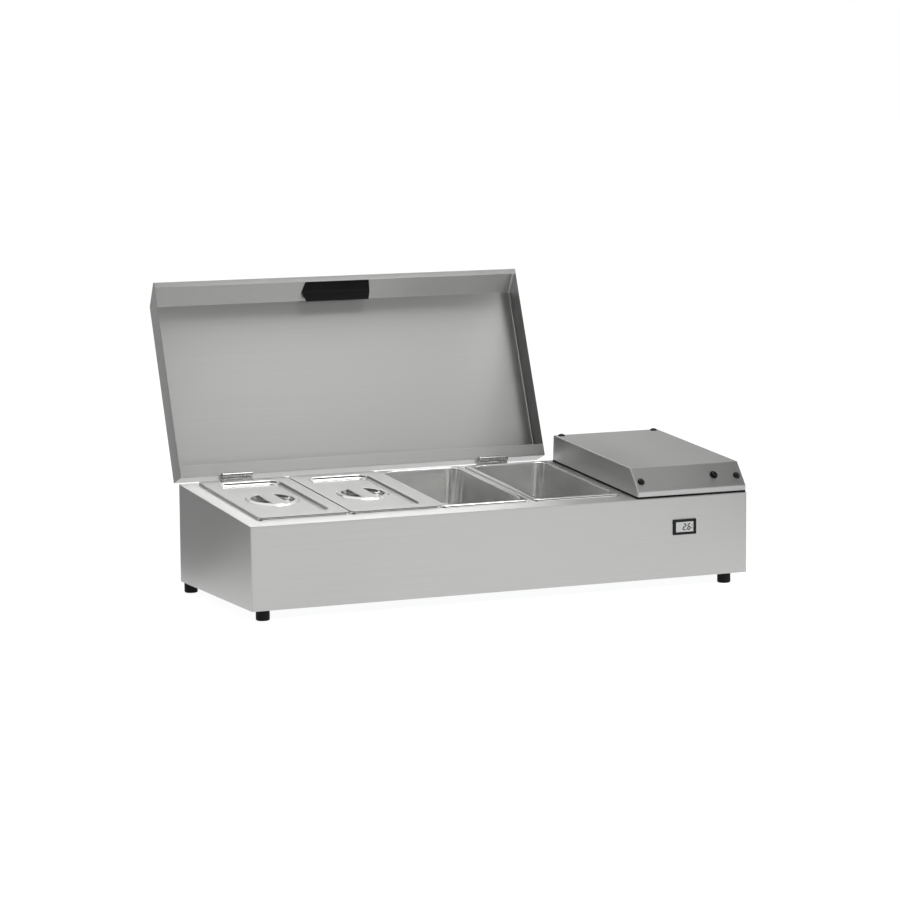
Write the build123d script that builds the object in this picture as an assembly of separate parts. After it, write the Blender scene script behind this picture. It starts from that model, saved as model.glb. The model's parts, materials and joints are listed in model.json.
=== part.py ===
from build123d import *

import os
from math import asin, atan2, cos, degrees, hypot, radians, sin, tan

# A countertop refrigerated prep well: a low steel casing with a sloping deck, four gastronorm pans, a
# hinged lid that stands open, and a refrigeration unit under a raised cover at the right-hand end.
# Millimetres and degrees. The front faces -Y, +X is to the right and the feet stand on Z = 0.

# Casing
BODY_WIDTH = 990.0
BODY_DEPTH = 378.0
FRONT_HEIGHT = 151.0
REAR_HEIGHT = 182.5
SHEET = 1.0
RETURN_FLANGE = 14.0
BEND_RADIUS = 2.0
SCREW_CLEARANCE = 0.1
HEAD_ROUND_SHARE = 0.6
EDGE_ROUND_SHARE = 0.4

# Feet
FOOT_DIAMETER = 25.0
FOOT_HEIGHT = 19.0
FOOT_EDGE = 3.0
FOOT_FRONT_SETBACK = 16.0
FOOT_REAR_SETBACK = 17.0
FRONT_FOOT_LEFT_INSET = 26.0
REAR_FOOT_LEFT_INSET = 14.0
FOOT_RIGHT_INSET = 40.0
FOOT_RECESS_DIAMETER = 12.0
FOOT_RECESS_DEPTH = 8.0
FOOT_SCREW_DIAMETER = 5.0
FOOT_SCREW_HEAD = 9.0
FOOT_SCREW_HEAD_HEIGHT = 3.0
FOOT_SCREW_STANDOUT = 4.0

# Pans, one-third gastronorm
PAN_WIDTH = 176.0
PAN_LENGTH = 325.0
PAN_DEPTH = 100.0
PAN_SHEET = 0.8
PAN_FLANGE = 11.0
PAN_LIP = 4.5
PAN_CORNER = 10.0
PAN_MOUTH_CORNER = 24.0
PAN_TAPER = 6.0
PAN_CORNER_DRAW = 2.0
PAN_FLOOR_FILLET = 9.0
PAN_GAP = 1.6
SINGLE_PAN_GAP = 9.3
LEFT_MARGIN = 30.0
FRONT_MARGIN = 39.5
PAN_SEAT = 8.0

# Pan lids
PAN_LID_SHEET = 1.2
PAN_LID_INSET = 1.0
PAN_LID_RIM = 26.0
PAN_LID_RECESS = 5.2
PAN_LID_CORNER = 20.0
DISH_RING_DIAMETER = 100.0
DISH_RING_RISE = 2.0
DISH_DIAMETER = 83.0
DISH_DEPTH = 14.0
DISH_BAR_WIDTH = 27.0

# Well
WELL_DEPTH = 108.0
WELL_OVERHANG = 4.0
WELL_FLANGE = 10.0
WELL_CORNER = 14.0
OPENING_CORNER = 4.0
BAR_WIDTH = 16.0
BAR_HEIGHT = 10.0
PROBE_DIAMETER = 5.0
PROBE_LENGTH = 42.0
PROBE_DROP = 42.0
PROBE_CLIP_WIDTH = 8.0

# Evaporator coil under the well floor
COIL_DIAMETER = 8.0
COIL_RUNS = 6
COIL_PITCH = 48.0
COIL_BEND_SHARE = 0.49
COIL_END_MARGIN = 34.0
COIL_GAP = 0.3
COIL_STUB = 6.0

# Cover over the refrigeration unit
COVER_SPACE = 17.0
COVER_RISE = 51.5
COVER_SETBACK = 4.0
COVER_REAR = 370.0
COVER_LIP = 10.0
SLOPE_ANGLE = 46.0
SEAL_HEIGHT = 3.5
SEAL_WIDTH = 6.0
SEAL_INSET = 0.5
BAY_OPENING_FRONT = 52.0
BAY_OPENING_MARGIN = 20.0
FIXING_INSET = 13.0
FIXING_REAR_INSET = 10.0
FIXING_SLOPE_DROP = 31.0
FIXING_HEAD = 14.0
FIXING_HEAD_HEIGHT = 4.0
FIXING_SHANK = 5.0
BRACKET_SHEET = 2.0
BRACKET_WIDTH = 16.0
BRACKET_TAB = 7.0

# Push button
BUTTON_RIGHT_INSET = 60.0
BUTTON_SLOPE_DROP = 26.5
BUTTON_DIAMETER = 10.0
BUTTON_COLLAR = 15.5
BUTTON_COLLAR_HEIGHT = 2.0
BUTTON_BARREL = 13.0
BUTTON_BODY_LENGTH = 22.0
BUTTON_STANDOUT = 2.6
BUTTON_PLUNGER = 14.0
BUTTON_EDGE = 1.2
BUTTON_FIT = 0.06

# Thermometer in the front panel
DISPLAY_WIDTH = 48.3
DISPLAY_HEIGHT = 28.9
DISPLAY_LEFT = 834.0
DISPLAY_BOTTOM = 80.0
DISPLAY_PROUD = 2.0
DISPLAY_WINDOW_WIDTH = 36.3
DISPLAY_WINDOW_HEIGHT = 18.8
DISPLAY_GLASS_BORDER = 2.2
DISPLAY_GLASS = 1.2
DISPLAY_MODULE_BORDER = 2.0
DISPLAY_MODULE_DEPTH = 24.0
DISPLAY_FIT = 0.3

# Hinges
HINGE_RISE = 10.0
HINGE_LEAF = 1.5
HINGE_LENGTH = 60.0
HINGE_INSET = 111.5
HINGE_LEAF_HEIGHT = 24.0
BARREL_DIAMETER = 10.0
PIN_DIAMETER = 5.0
PIN_FIT = 0.05
KNUCKLE_GAP = 0.4
BARREL_CLEARANCE = 1.0
STOP_TAB = 2.5
STOP_REACH = 18.0
STOP_GAP = 0.1
HINGE_SCREW = 3.5
HINGE_SCREW_SPACING = 18.4
HINGE_SCREW_HEAD = 7.0
HINGE_SCREW_HEAD_HEIGHT = 1.6

# Lid
LID_LEFT = 3.5
LID_WIDTH = 749.0
LID_LENGTH = 380.0
LID_HEIGHT = 41.5
LID_SLOPE_RUN = 36.4
LID_FRONT_FLANGE = 11.0
LID_REAR_FLANGE = 23.0
LID_LEAN = 20.5
LID_REST_GAP = 0.4

# Lid handle, a recessed pull in the lid's slope
HANDLE_WIDTH = 140.0
HANDLE_CORNER_CUT = 5.8
HANDLE_FOOT_MARGIN = 3.5
HANDLE_TOP_MARGIN = 8.0
HANDLE_RIDGE = 28.0
HANDLE_RIDGE_DEPTH = 3.0
HANDLE_TOP_DEPTH = 16.0
HANDLE_FOOT_DEPTH = 2.5
HANDLE_WALL = 1.6
HANDLE_FLANGE = 2.0
HANDLE_FLANGE_RIM = 1.6
HANDLE_FIT = 0.3

# Refrigeration unit
COMPRESSOR_RADIUS = 62.0
COMPRESSOR_HEIGHT = 128.0
COMPRESSOR_SETBACK = 142.0
COMPRESSOR_DOME = 26.0
COMPRESSOR_SEAM = 1.5
COMPRESSOR_SEAM_HEIGHT = 5.0
COMPRESSOR_SEAM_LIFT = 70.4
COMPRESSOR_PLATE = 2.5
COMPRESSOR_FOOT_SPREAD_X = 104.0
COMPRESSOR_FOOT_SPREAD_Y = 96.0
GROMMET_DIAMETER = 20.0
GROMMET_HEIGHT = 12.0
RELAY_WIDTH = 40.0
RELAY_HEIGHT = 46.0
RELAY_DEPTH = 18.0
PIPE_DIAMETER = 7.0
PIPE_STUB = 12.0
PIPE_BEND = 9.0
PIPE_TURN_OFFSET = 1.0
PIPE_TURN_EASE = 0.5
SUCTION_LIFT = 57.6
DISCHARGE_LIFT = 84.48
CAPILLARY_DIAMETER = 3.0
CAPILLARY_BEND = 7.2
CONDENSER_DEPTH = 40.0
CONDENSER_HEIGHT = 118.0
CONDENSER_LIFT = 35.0
CONDENSER_REAR_GAP = 16.0
CONDENSER_LEFT_GAP = 36.0
CONDENSER_RIGHT_GAP = 24.0
CONDENSER_FIN = 0.8
CONDENSER_FINS = 17
CONDENSER_TUBE_ROWS = 4
CONDENSER_STUB = 7.0
FAN_DIAMETER = 104.0
FAN_TIP_GAP = 4.0
FAN_BLADES = 5
FAN_BLADE_PITCH = 32.0
FAN_BLADE_SHEET = 1.6
FAN_WIDTH = 16.0
FAN_GAP = 4.0
FAN_HUB = 34.0
FAN_HUB_EDGE = 4.0
FAN_BLADE_ROOT = 2.0
FAN_BLADE_CHORD = 24.0
FAN_SHAFT = 6.0
FAN_SHAFT_REACH = 24.0
FAN_SHAFT_END_GAP = 1.0
FAN_MOTOR_DIAMETER = 56.0
FAN_MOTOR_LENGTH = 38.0
FAN_MOTOR_EDGE = 3.0
FAN_BRACKET = 2.0
FAN_ARM_HEIGHT = 20.0
DRIER_DIAMETER = 18.0
DRIER_LENGTH = 70.0
DRIER_LIFT = 45.0
DRIER_SETBACK = 262.0
DRIER_STUB = 8.0
DRIER_EDGE = 3.0
DRIER_STANDOFF = 3.0
DRIER_CLIP = 12.0
TERMINAL_BOX_WIDTH = 60.0
TERMINAL_BOX_DEPTH = 44.0
TERMINAL_BOX_HEIGHT = 38.0
TERMINAL_BOX_GAP = 4.0
TERMINAL_BOX_CORNER = 4.0

# Mains cable gland and air slots
GLAND_BORE = 8.0
GLAND_THREAD = 16.0
GLAND_NUT = 22.0
GLAND_NUT_LENGTH = 8.0
GLAND_DOME = 6.0
GLAND_DOME_EDGE = 2.0
GLAND_LOCKNUT_LENGTH = 5.0
GLAND_RIGHT_INSET = 54.0
GLAND_LIFT = 31.0
SLOT_LENGTH = 68.0
SLOT_HEIGHT = 5.0
SLOT_PITCH = 12.0
SLOT_COLUMN_GAP = 9.0
REAR_SLOT_ROWS = 9
SIDE_SLOT_ROWS = 7
SIDE_SLOT_SETBACK = 90.0
SLOT_LIFT = 44.0
PANEL_SCREWS = 6
PANEL_SCREW_DIAMETER = 4.0
PANEL_SCREW_HEAD = 8.0
PANEL_SCREW_HEAD_HEIGHT = 2.2
PANEL_SCREW_LENGTH = 6.0

# Places worked out from the sizes above
HALF_WIDTH = BODY_WIDTH / 2
INNER_HALF = HALF_WIDTH - SHEET
FLOOR = FOOT_HEIGHT
TRAY_TOP = FLOOR + SHEET
FRONT_TOP = FLOOR + FRONT_HEIGHT
REAR_TOP = FLOOR + REAR_HEIGHT
DECK_TILT = degrees(atan2(REAR_HEIGHT - FRONT_HEIGHT, BODY_DEPTH))
DECK_LENGTH = hypot(BODY_DEPTH, REAR_HEIGHT - FRONT_HEIGHT)
TILT_COS = cos(radians(DECK_TILT))
TILT_SIN = sin(radians(DECK_TILT))
SLOPE_COS = cos(radians(SLOPE_ANGLE))
SLOPE_SIN = sin(radians(SLOPE_ANGLE))

# The deck's own frame: X across, Y up the deck from its front edge, Z out of the deck
DECK = Pos(0, 0, FRONT_TOP) * Rot(DECK_TILT, 0, 0)

PAN_LEFTS = [-HALF_WIDTH + LEFT_MARGIN + n * (PAN_WIDTH + PAN_GAP) for n in range(3)]
PAN_LEFTS.append(PAN_LEFTS[-1] + PAN_WIDTH + SINGLE_PAN_GAP)
PAN_MIDS = [left + PAN_WIDTH / 2 for left in PAN_LEFTS]
PAN_MID_Y = FRONT_MARGIN + PAN_LENGTH / 2
PANS_RIGHT = PAN_LEFTS[-1] + PAN_WIDTH
COVER_LEFT = PANS_RIGHT + COVER_SPACE
BAY_LEFT = COVER_LEFT + SHEET
BAY_RIGHT = INNER_HALF
BAY_MID = (BAY_LEFT + BAY_RIGHT) / 2
REAR_INSIDE = BODY_DEPTH - 2 * SHEET

OPENING_FRONT = FRONT_MARGIN + PAN_SEAT
OPENING_REAR = FRONT_MARGIN + PAN_LENGTH - PAN_SEAT
WELL_LEFT = PAN_LEFTS[0] + PAN_SEAT - WELL_OVERHANG
WELL_RIGHT = PANS_RIGHT - PAN_SEAT + WELL_OVERHANG
WELL_FRONT = OPENING_FRONT - WELL_OVERHANG
WELL_REAR = OPENING_REAR + WELL_OVERHANG
WELL_FLOOR = -SHEET - WELL_DEPTH

COIL_Z = WELL_FLOOR - SHEET - COIL_GAP - COIL_DIAMETER / 2
COIL_FRONT = PAN_MID_Y - COIL_PITCH * (COIL_RUNS - 1) / 2
COIL_REAR = PAN_MID_Y + COIL_PITCH * (COIL_RUNS - 1) / 2
COIL_END = BAY_LEFT + COIL_STUB

AXIS_Y = BODY_DEPTH + HINGE_LEAF / 2
AXIS_Z = REAR_TOP + HINGE_RISE
AXIS_U = AXIS_Y * TILT_COS + (AXIS_Z - FRONT_TOP) * TILT_SIN
AXIS_V = -AXIS_Y * TILT_SIN + (AXIS_Z - FRONT_TOP) * TILT_COS
OPEN_ANGLE = 90 + LID_LEAN + DECK_TILT
CLOSED_TRAVEL = OPEN_ANGLE + degrees(asin((AXIS_V - LID_REST_GAP) / LID_LENGTH))
LID_OPEN = Pos(0, AXIS_Y, AXIS_Z) * Rot(-OPEN_ANGLE, 0, 0) * Pos(0, -AXIS_Y, -AXIS_Z) * DECK

LID_X0 = -HALF_WIDTH + LID_LEFT
LID_X1 = LID_X0 + LID_WIDTH
LID_MID = (LID_X0 + LID_X1) / 2
LID_REAR = AXIS_U - HINGE_LEAF / 2
LID_FRONT = LID_REAR - LID_LENGTH
LID_RIM = AXIS_V
LID_TOP = LID_RIM + LID_HEIGHT
LID_SLOPE_FOOT = LID_TOP - LID_SLOPE_RUN * tan(radians(SLOPE_ANGLE))
LID_SLOPE_LENGTH = LID_SLOPE_RUN / SLOPE_COS
HINGE_MIDS = {"left": LID_X0 + HINGE_INSET, "right": LID_X1 - HINGE_INSET}
KNUCKLE = HINGE_LENGTH / 3

COVER_SLOPE_FOOT = SEAL_HEIGHT + COVER_LIP
COVER_SLOPE_RUN = (COVER_RISE - COVER_SLOPE_FOOT) / tan(radians(SLOPE_ANGLE))
COVER_BEND = COVER_SETBACK + COVER_SLOPE_RUN

CONDENSER_LEFT = BAY_LEFT + CONDENSER_LEFT_GAP
CONDENSER_RIGHT = BAY_RIGHT - CONDENSER_RIGHT_GAP
CONDENSER_MID = (CONDENSER_LEFT + CONDENSER_RIGHT) / 2
CONDENSER_REAR = REAR_INSIDE - CONDENSER_REAR_GAP
CONDENSER_FRONT = CONDENSER_REAR - CONDENSER_DEPTH
CONDENSER_MID_Y = (CONDENSER_FRONT + CONDENSER_REAR) / 2
CONDENSER_BOTTOM = TRAY_TOP + CONDENSER_LIFT
CONDENSER_TOP = CONDENSER_BOTTOM + CONDENSER_HEIGHT
FAN_Z = (CONDENSER_BOTTOM + CONDENSER_TOP) / 2
FAN_REAR = CONDENSER_FRONT - FAN_BRACKET - FAN_GAP
FAN_FRONT = FAN_REAR - FAN_WIDTH
MOTOR_REAR = FAN_FRONT - FAN_GAP
MOTOR_FRONT = MOTOR_REAR - FAN_MOTOR_LENGTH

COMPRESSOR_BASE = TRAY_TOP + GROMMET_HEIGHT + COMPRESSOR_PLATE
COMPRESSOR_LEFT = BAY_MID - COMPRESSOR_RADIUS
COMPRESSOR_REAR = COMPRESSOR_SETBACK + COMPRESSOR_RADIUS
SUCTION_Z = COMPRESSOR_BASE + SUCTION_LIFT
DISCHARGE_Z = COMPRESSOR_BASE + DISCHARGE_LIFT
DRIER_X = BAY_LEFT + DRIER_STANDOFF + DRIER_DIAMETER / 2
DRIER_BOTTOM = TRAY_TOP + DRIER_LIFT
DRIER_TOP = DRIER_BOTTOM + DRIER_LENGTH

DISPLAY_X0 = -HALF_WIDTH + DISPLAY_LEFT
DISPLAY_X = DISPLAY_X0 + DISPLAY_WIDTH / 2
DISPLAY_Z = FLOOR + DISPLAY_BOTTOM + DISPLAY_HEIGHT / 2
MODULE_WIDTH = DISPLAY_WIDTH - 2 * DISPLAY_MODULE_BORDER
MODULE_HEIGHT = DISPLAY_HEIGHT - 2 * DISPLAY_MODULE_BORDER

TERMINAL_BOX_FRONT = FOOT_FRONT_SETBACK + FOOT_SCREW_DIAMETER / 2 + TERMINAL_BOX_GAP
FEET = {
    "front_left": (-HALF_WIDTH + FRONT_FOOT_LEFT_INSET, FOOT_FRONT_SETBACK),
    "front_right": (HALF_WIDTH - FOOT_RIGHT_INSET, FOOT_FRONT_SETBACK),
    "rear_left": (-HALF_WIDTH + REAR_FOOT_LEFT_INSET, BODY_DEPTH - FOOT_REAR_SETBACK),
    "rear_right": (HALF_WIDTH - FOOT_RIGHT_INSET, BODY_DEPTH - FOOT_REAR_SETBACK),
}
GLAND_X = BAY_RIGHT - GLAND_RIGHT_INSET
GLAND_Z = TRAY_TOP + GLAND_LIFT
FAR = 4 * BODY_WIDTH


def block(x0, x1, y0, y1, z0, z1):
    """A box between two corners."""
    return Pos(x0, y0, z0) * Box(x1 - x0, y1 - y0, z1 - z0, align=(Align.MIN, Align.MIN, Align.MIN))


def slab(x, y, width, length, radius, z0, z1):
    """A flat rounded rectangle centred on x, y, from z0 up to z1."""
    return Pos(x, y, z0) * extrude(RectangleRounded(width, length, radius), z1 - z0)


def prism(face, x0, x1):
    """A Y-Z outline drawn out along X."""
    return extrude(Plane.YZ.offset(x0) * face, x1 - x0, dir=(1, 0, 0))


def rod(start, end, radius):
    """A round bar between two points."""
    span = Vector(*end) - Vector(*start)
    return extrude(Plane(origin=start, z_dir=span) * Circle(radius), span.length)


def pipe(points, bend, radius):
    """A round bar along straight runs joined by tangent arcs."""
    path = FilletPolyline(*points, radius=bend)
    return sweep(Plane(origin=path @ 0, z_dir=path % 0) * Circle(radius), path=path)


def from_deck(x, y, z):
    """A point of the deck's frame, in the frame of the whole unit."""
    return (x, y * TILT_COS - z * TILT_SIN, FRONT_TOP + y * TILT_SIN + z * TILT_COS)


def domed_head(diameter, height):
    """A round screw head with a softened crown, standing on Z = 0."""
    head = extrude(Circle(diameter / 2), height)
    return fillet(head.edges().sort_by(Axis.Z)[-1], height * HEAD_ROUND_SHARE)


def screw(head, head_height, shank, length):
    """A screw with its head on Z = 0 and its shank below."""
    return domed_head(head, head_height) + extrude(Circle(shank / 2), -length)


def above_deck(depth):
    """All the space above a plane that lies depth below the deck's top face."""
    return DECK * block(-FAR, FAR, -FAR, FAR, -depth, FAR)


def slots(columns, rows):
    """Rounded air slots in an X-Z grid, centred on X = 0 with the first row on Z = 0, cut along Y."""
    step = SLOT_LENGTH + SLOT_COLUMN_GAP
    cutter = extrude(Plane.XZ * SlotOverall(SLOT_LENGTH, SLOT_HEIGHT), SHEET * 3, both=True)
    first = -step * (columns - 1) / 2
    return [Pos(first + step * c, 0, SLOT_PITCH * r) * cutter for c in range(columns) for r in range(rows)]


# Casing


def outer_casing():
    shell = block(-HALF_WIDTH, HALF_WIDTH, 0, BODY_DEPTH, FLOOR, REAR_TOP)
    shell -= block(-INNER_HALF, INNER_HALF, SHEET, BODY_DEPTH + SHEET, FLOOR - SHEET, REAR_TOP + SHEET)
    for side in (-1, 1):
        edges = sorted((side * INNER_HALF, side * (INNER_HALF - RETURN_FLANGE)))
        shell += block(*edges, REAR_INSIDE, REAR_INSIDE + SHEET, FLOOR + RETURN_FLANGE + SHEET, REAR_TOP)
    shell -= above_deck(SHEET)
    shell -= block(
        DISPLAY_X - MODULE_WIDTH / 2 - DISPLAY_FIT,
        DISPLAY_X + MODULE_WIDTH / 2 + DISPLAY_FIT,
        -SHEET,
        2 * SHEET,
        DISPLAY_Z - MODULE_HEIGHT / 2 - DISPLAY_FIT,
        DISPLAY_Z + MODULE_HEIGHT / 2 + DISPLAY_FIT,
    )
    side_slots = Pos(INNER_HALF, SIDE_SLOT_SETBACK + SLOT_LENGTH, TRAY_TOP + SLOT_LIFT) * Rot(0, 0, 90)
    for cutter in slots(2, SIDE_SLOT_ROWS):
        shell -= side_slots * cutter
    return shell


def base_tray():
    tray = block(-INNER_HALF, INNER_HALF, SHEET, REAR_INSIDE + SHEET, FLOOR, FLOOR + RETURN_FLANGE)
    inner = INNER_HALF - SHEET
    tray -= block(-inner, inner, 2 * SHEET, REAR_INSIDE, TRAY_TOP, FLOOR + RETURN_FLANGE + SHEET)
    hole = FOOT_SCREW_DIAMETER / 2 + SCREW_CLEARANCE
    for x, y in FEET.values():
        tray -= rod((x, y, FLOOR - SHEET), (x, y, TRAY_TOP + SHEET), hole)
    for x, z in panel_screw_places():
        tray -= rod((x, REAR_INSIDE - SHEET, z), (x, BODY_DEPTH, z), panel_hole())
    return tray


def panel_hole():
    return PANEL_SCREW_DIAMETER / 2 + SCREW_CLEARANCE


def panel_screw_places():
    """Screws along the rear panel's foot, which hold it to the base tray."""
    reach = INNER_HALF - 2 * RETURN_FLANGE
    z = FLOOR + RETURN_FLANGE / 2
    return [(-reach + 2 * reach * n / (PANEL_SCREWS - 1), z) for n in range(PANEL_SCREWS)]


def rear_panel():
    panel = block(-INNER_HALF, INNER_HALF, BODY_DEPTH - SHEET, BODY_DEPTH, FLOOR, REAR_TOP)
    panel -= above_deck(SHEET)
    for cutter in slots(2, REAR_SLOT_ROWS):
        panel -= Pos(CONDENSER_MID, BODY_DEPTH, CONDENSER_BOTTOM + SLOT_HEIGHT) * cutter
    thread = GLAND_THREAD / 2 + SCREW_CLEARANCE
    panel -= rod((GLAND_X, BODY_DEPTH - 2 * SHEET, GLAND_Z), (GLAND_X, BODY_DEPTH + SHEET, GLAND_Z), thread)
    for x, z in panel_screw_places():
        panel -= rod((x, BODY_DEPTH - 2 * SHEET, z), (x, BODY_DEPTH + SHEET, z), panel_hole())
    hole = HINGE_SCREW / 2 + SCREW_CLEARANCE
    for x, z in fixed_leaf_screw_places():
        panel -= rod((x, BODY_DEPTH - 2 * SHEET, z), (x, BODY_DEPTH + SHEET, z), hole)
    return panel


def panel_screws():
    one = screw(PANEL_SCREW_HEAD, PANEL_SCREW_HEAD_HEIGHT, PANEL_SCREW_DIAMETER, PANEL_SCREW_LENGTH)
    return Compound([Pos(x, BODY_DEPTH, z) * Rot(-90, 0, 0) * one for x, z in panel_screw_places()])


def top_deck():
    deck = block(-HALF_WIDTH, HALF_WIDTH, 0, DECK_LENGTH, -SHEET, 0)
    for x0, x1 in pan_openings():
        deck -= slab(
            (x0 + x1) / 2,
            PAN_MID_Y,
            x1 - x0,
            OPENING_REAR - OPENING_FRONT,
            OPENING_CORNER,
            -2 * SHEET,
            SHEET,
        )
    bay_rear = COVER_REAR - BAY_OPENING_MARGIN
    deck -= block(
        COVER_LEFT + BAY_OPENING_MARGIN,
        HALF_WIDTH - BAY_OPENING_MARGIN,
        BAY_OPENING_FRONT,
        bay_rear,
        -2 * SHEET,
        SHEET,
    )
    # The rear edge is cut upright, in line with the rear panel.
    return DECK * deck - block(-FAR, FAR, BODY_DEPTH, FAR, 0, FAR)


def pan_openings():
    """The two openings in the deck: one for the three pans on the left, one for the single pan."""
    return [
        (PAN_LEFTS[0] + PAN_SEAT, PAN_LEFTS[2] + PAN_WIDTH - PAN_SEAT),
        (PAN_LEFTS[3] + PAN_SEAT, PANS_RIGHT - PAN_SEAT),
    ]


# Well


def well_form(grow, z0, z1):
    return slab(
        (WELL_LEFT + WELL_RIGHT) / 2,
        (WELL_FRONT + WELL_REAR) / 2,
        WELL_RIGHT - WELL_LEFT + 2 * grow,
        WELL_REAR - WELL_FRONT + 2 * grow,
        WELL_CORNER + grow,
        z0,
        z1,
    )


def well_outside():
    """The liner's outer form, flange included, as it sits in the foam."""
    tub = well_form(SHEET, WELL_FLOOR - SHEET, -SHEET)
    return tub + well_form(SHEET + WELL_FLANGE, -2 * SHEET, -SHEET)


def well_liner():
    return DECK * (well_outside() - well_form(0, WELL_FLOOR, 0))


def coil_path():
    """Runs to and fro under the well floor, with both ends at the machine bay."""
    left = WELL_LEFT + COIL_END_MARGIN
    right = WELL_RIGHT - COIL_END_MARGIN
    points = [(COIL_END, COIL_FRONT, COIL_Z)]
    for run in range(COIL_RUNS):
        y = COIL_FRONT + run * COIL_PITCH
        here, there = (right, left) if run % 2 == 0 else (left, right)
        if run > 0:
            points.append((here, y, COIL_Z))
        if run < COIL_RUNS - 1:
            points.append((there, y, COIL_Z))
    points.append((COIL_END, COIL_REAR, COIL_Z))
    return points


def evaporator_coil():
    return DECK * pipe(coil_path(), COIL_PITCH * COIL_BEND_SHARE, COIL_DIAMETER / 2)


def coil_bores():
    """Holes for the coil's two ends, from the channel under the well to the machine bay."""
    radius = COIL_DIAMETER / 2 + COIL_GAP / 2
    start = WELL_RIGHT - SHEET
    end = BAY_LEFT + SHEET
    return [DECK * rod((start, y, COIL_Z), (end, y, COIL_Z), radius) for y in (COIL_FRONT, COIL_REAR)]


def insulation():
    foam = block(-INNER_HALF + SHEET, COVER_LEFT, 2 * SHEET, REAR_INSIDE, TRAY_TOP, REAR_TOP)
    foam -= above_deck(SHEET)
    foam -= DECK * well_outside()
    foam -= DECK * well_form(0, COIL_Z - COIL_DIAMETER / 2 - SHEET, WELL_FLOOR)
    for bore in coil_bores():
        foam -= bore
    hole = FOOT_SCREW_DIAMETER / 2 + SCREW_CLEARANCE
    for x, y in FEET.values():
        foam -= rod((x, y, FLOOR), (x, y, TRAY_TOP + FOOT_SCREW_STANDOUT + SHEET), hole)
    for x, z in panel_screw_places():
        foam -= rod((x, BODY_DEPTH - PANEL_SCREW_LENGTH - SHEET, z), (x, BODY_DEPTH, z), panel_hole())
    for x, z in fixed_leaf_screw_places():
        foam -= rod((x, BODY_DEPTH - PANEL_SCREW_LENGTH - SHEET, z), (x, BODY_DEPTH, z), panel_hole())
    return foam


def bulkhead():
    wall = block(COVER_LEFT, BAY_LEFT, 2 * SHEET, REAR_INSIDE, TRAY_TOP, REAR_TOP)
    wall -= above_deck(SHEET)
    for bore in coil_bores():
        wall -= bore
    return wall


def pan_support_bars():
    bars = []
    for n in range(2):
        mid = PAN_LEFTS[n] + PAN_WIDTH + PAN_GAP / 2
        bars.append(
            DECK
            * block(mid - BAR_WIDTH / 2, mid + BAR_WIDTH / 2, OPENING_FRONT, OPENING_REAR, -BAR_HEIGHT, 0)
        )
    return Compound(bars)


def temperature_probe():
    x = WELL_RIGHT - PROBE_DIAMETER / 2 - SHEET
    start = (x, PAN_MID_Y - PROBE_LENGTH / 2, -PROBE_DROP)
    end = (x, PAN_MID_Y + PROBE_LENGTH / 2, -PROBE_DROP)
    bulb = rod(start, end, PROBE_DIAMETER / 2)
    clip = block(
        x,
        WELL_RIGHT,
        PAN_MID_Y - PROBE_CLIP_WIDTH / 2,
        PAN_MID_Y + PROBE_CLIP_WIDTH / 2,
        -PROBE_DROP - PROBE_DIAMETER / 2,
        -PROBE_DROP + PROBE_DIAMETER / 2,
    )
    return DECK * (bulb + clip)


# Pans and their lids


def pan_form(shrink):
    """The pan's tapered body, drawn in by shrink on every side."""
    width = PAN_WIDTH - 2 * PAN_FLANGE - 2 * shrink
    length = PAN_LENGTH - 2 * PAN_FLANGE - 2 * shrink
    mouth = Pos(0, 0, PAN_LIP) * RectangleRounded(width, length, PAN_MOUTH_CORNER - shrink)
    floor = Pos(0, 0, PAN_LIP - PAN_DEPTH + shrink) * RectangleRounded(
        width - 2 * PAN_TAPER, length - 2 * PAN_TAPER, PAN_MOUTH_CORNER - shrink - PAN_CORNER_DRAW
    )
    body = loft([floor, mouth])
    return fillet(body.faces().sort_by(Axis.Z)[0].edges(), PAN_FLOOR_FILLET - shrink)


def gn_pan(mid):
    flange = slab(0, 0, PAN_WIDTH, PAN_LENGTH, PAN_CORNER, 0, PAN_LIP)
    width = PAN_WIDTH - 2 * PAN_SHEET
    length = PAN_LENGTH - 2 * PAN_SHEET
    flange -= slab(0, 0, width, length, PAN_CORNER - PAN_SHEET, 0, PAN_LIP - PAN_SHEET)
    return DECK * Pos(mid, PAN_MID_Y, 0) * (flange + pan_form(0) - pan_form(PAN_SHEET))


def pan_lid(mid):
    top = PAN_LIP + PAN_LID_SHEET
    width = PAN_WIDTH - 2 * PAN_LID_INSET
    length = PAN_LENGTH - 2 * PAN_LID_INSET
    recess_width = width - 2 * PAN_LID_RIM
    recess_length = length - 2 * PAN_LID_RIM
    floor = top - PAN_LID_RECESS
    lid = slab(0, 0, width, length, PAN_CORNER - PAN_LID_INSET, PAN_LIP, top)
    lid += slab(
        0,
        0,
        recess_width + 2 * PAN_LID_SHEET,
        recess_length + 2 * PAN_LID_SHEET,
        PAN_LID_CORNER + PAN_LID_SHEET,
        floor - PAN_LID_SHEET,
        top,
    )
    lid -= slab(0, 0, recess_width, recess_length, PAN_LID_CORNER, floor, top)
    # A raised ring round a pressed dish, with a bar left across the dish to lift the lid by
    crown = floor + DISH_RING_RISE
    lid += Pos(0, 0, floor) * extrude(Circle(DISH_RING_DIAMETER / 2), DISH_RING_RISE)
    lid += Pos(0, 0, crown - DISH_DEPTH) * extrude(Circle(DISH_DIAMETER / 2 + PAN_LID_SHEET), DISH_DEPTH)
    dish = Pos(0, 0, crown - DISH_DEPTH + PAN_LID_SHEET) * extrude(Circle(DISH_DIAMETER / 2), DISH_DEPTH)
    half = DISH_BAR_WIDTH / 2
    lid -= dish - block(-half, half, -DISH_DIAMETER, DISH_DIAMETER, crown - 2 * PAN_LID_SHEET, crown)
    return DECK * Pos(mid, PAN_MID_Y, 0) * lid


# Cover, seal and fixings


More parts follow.
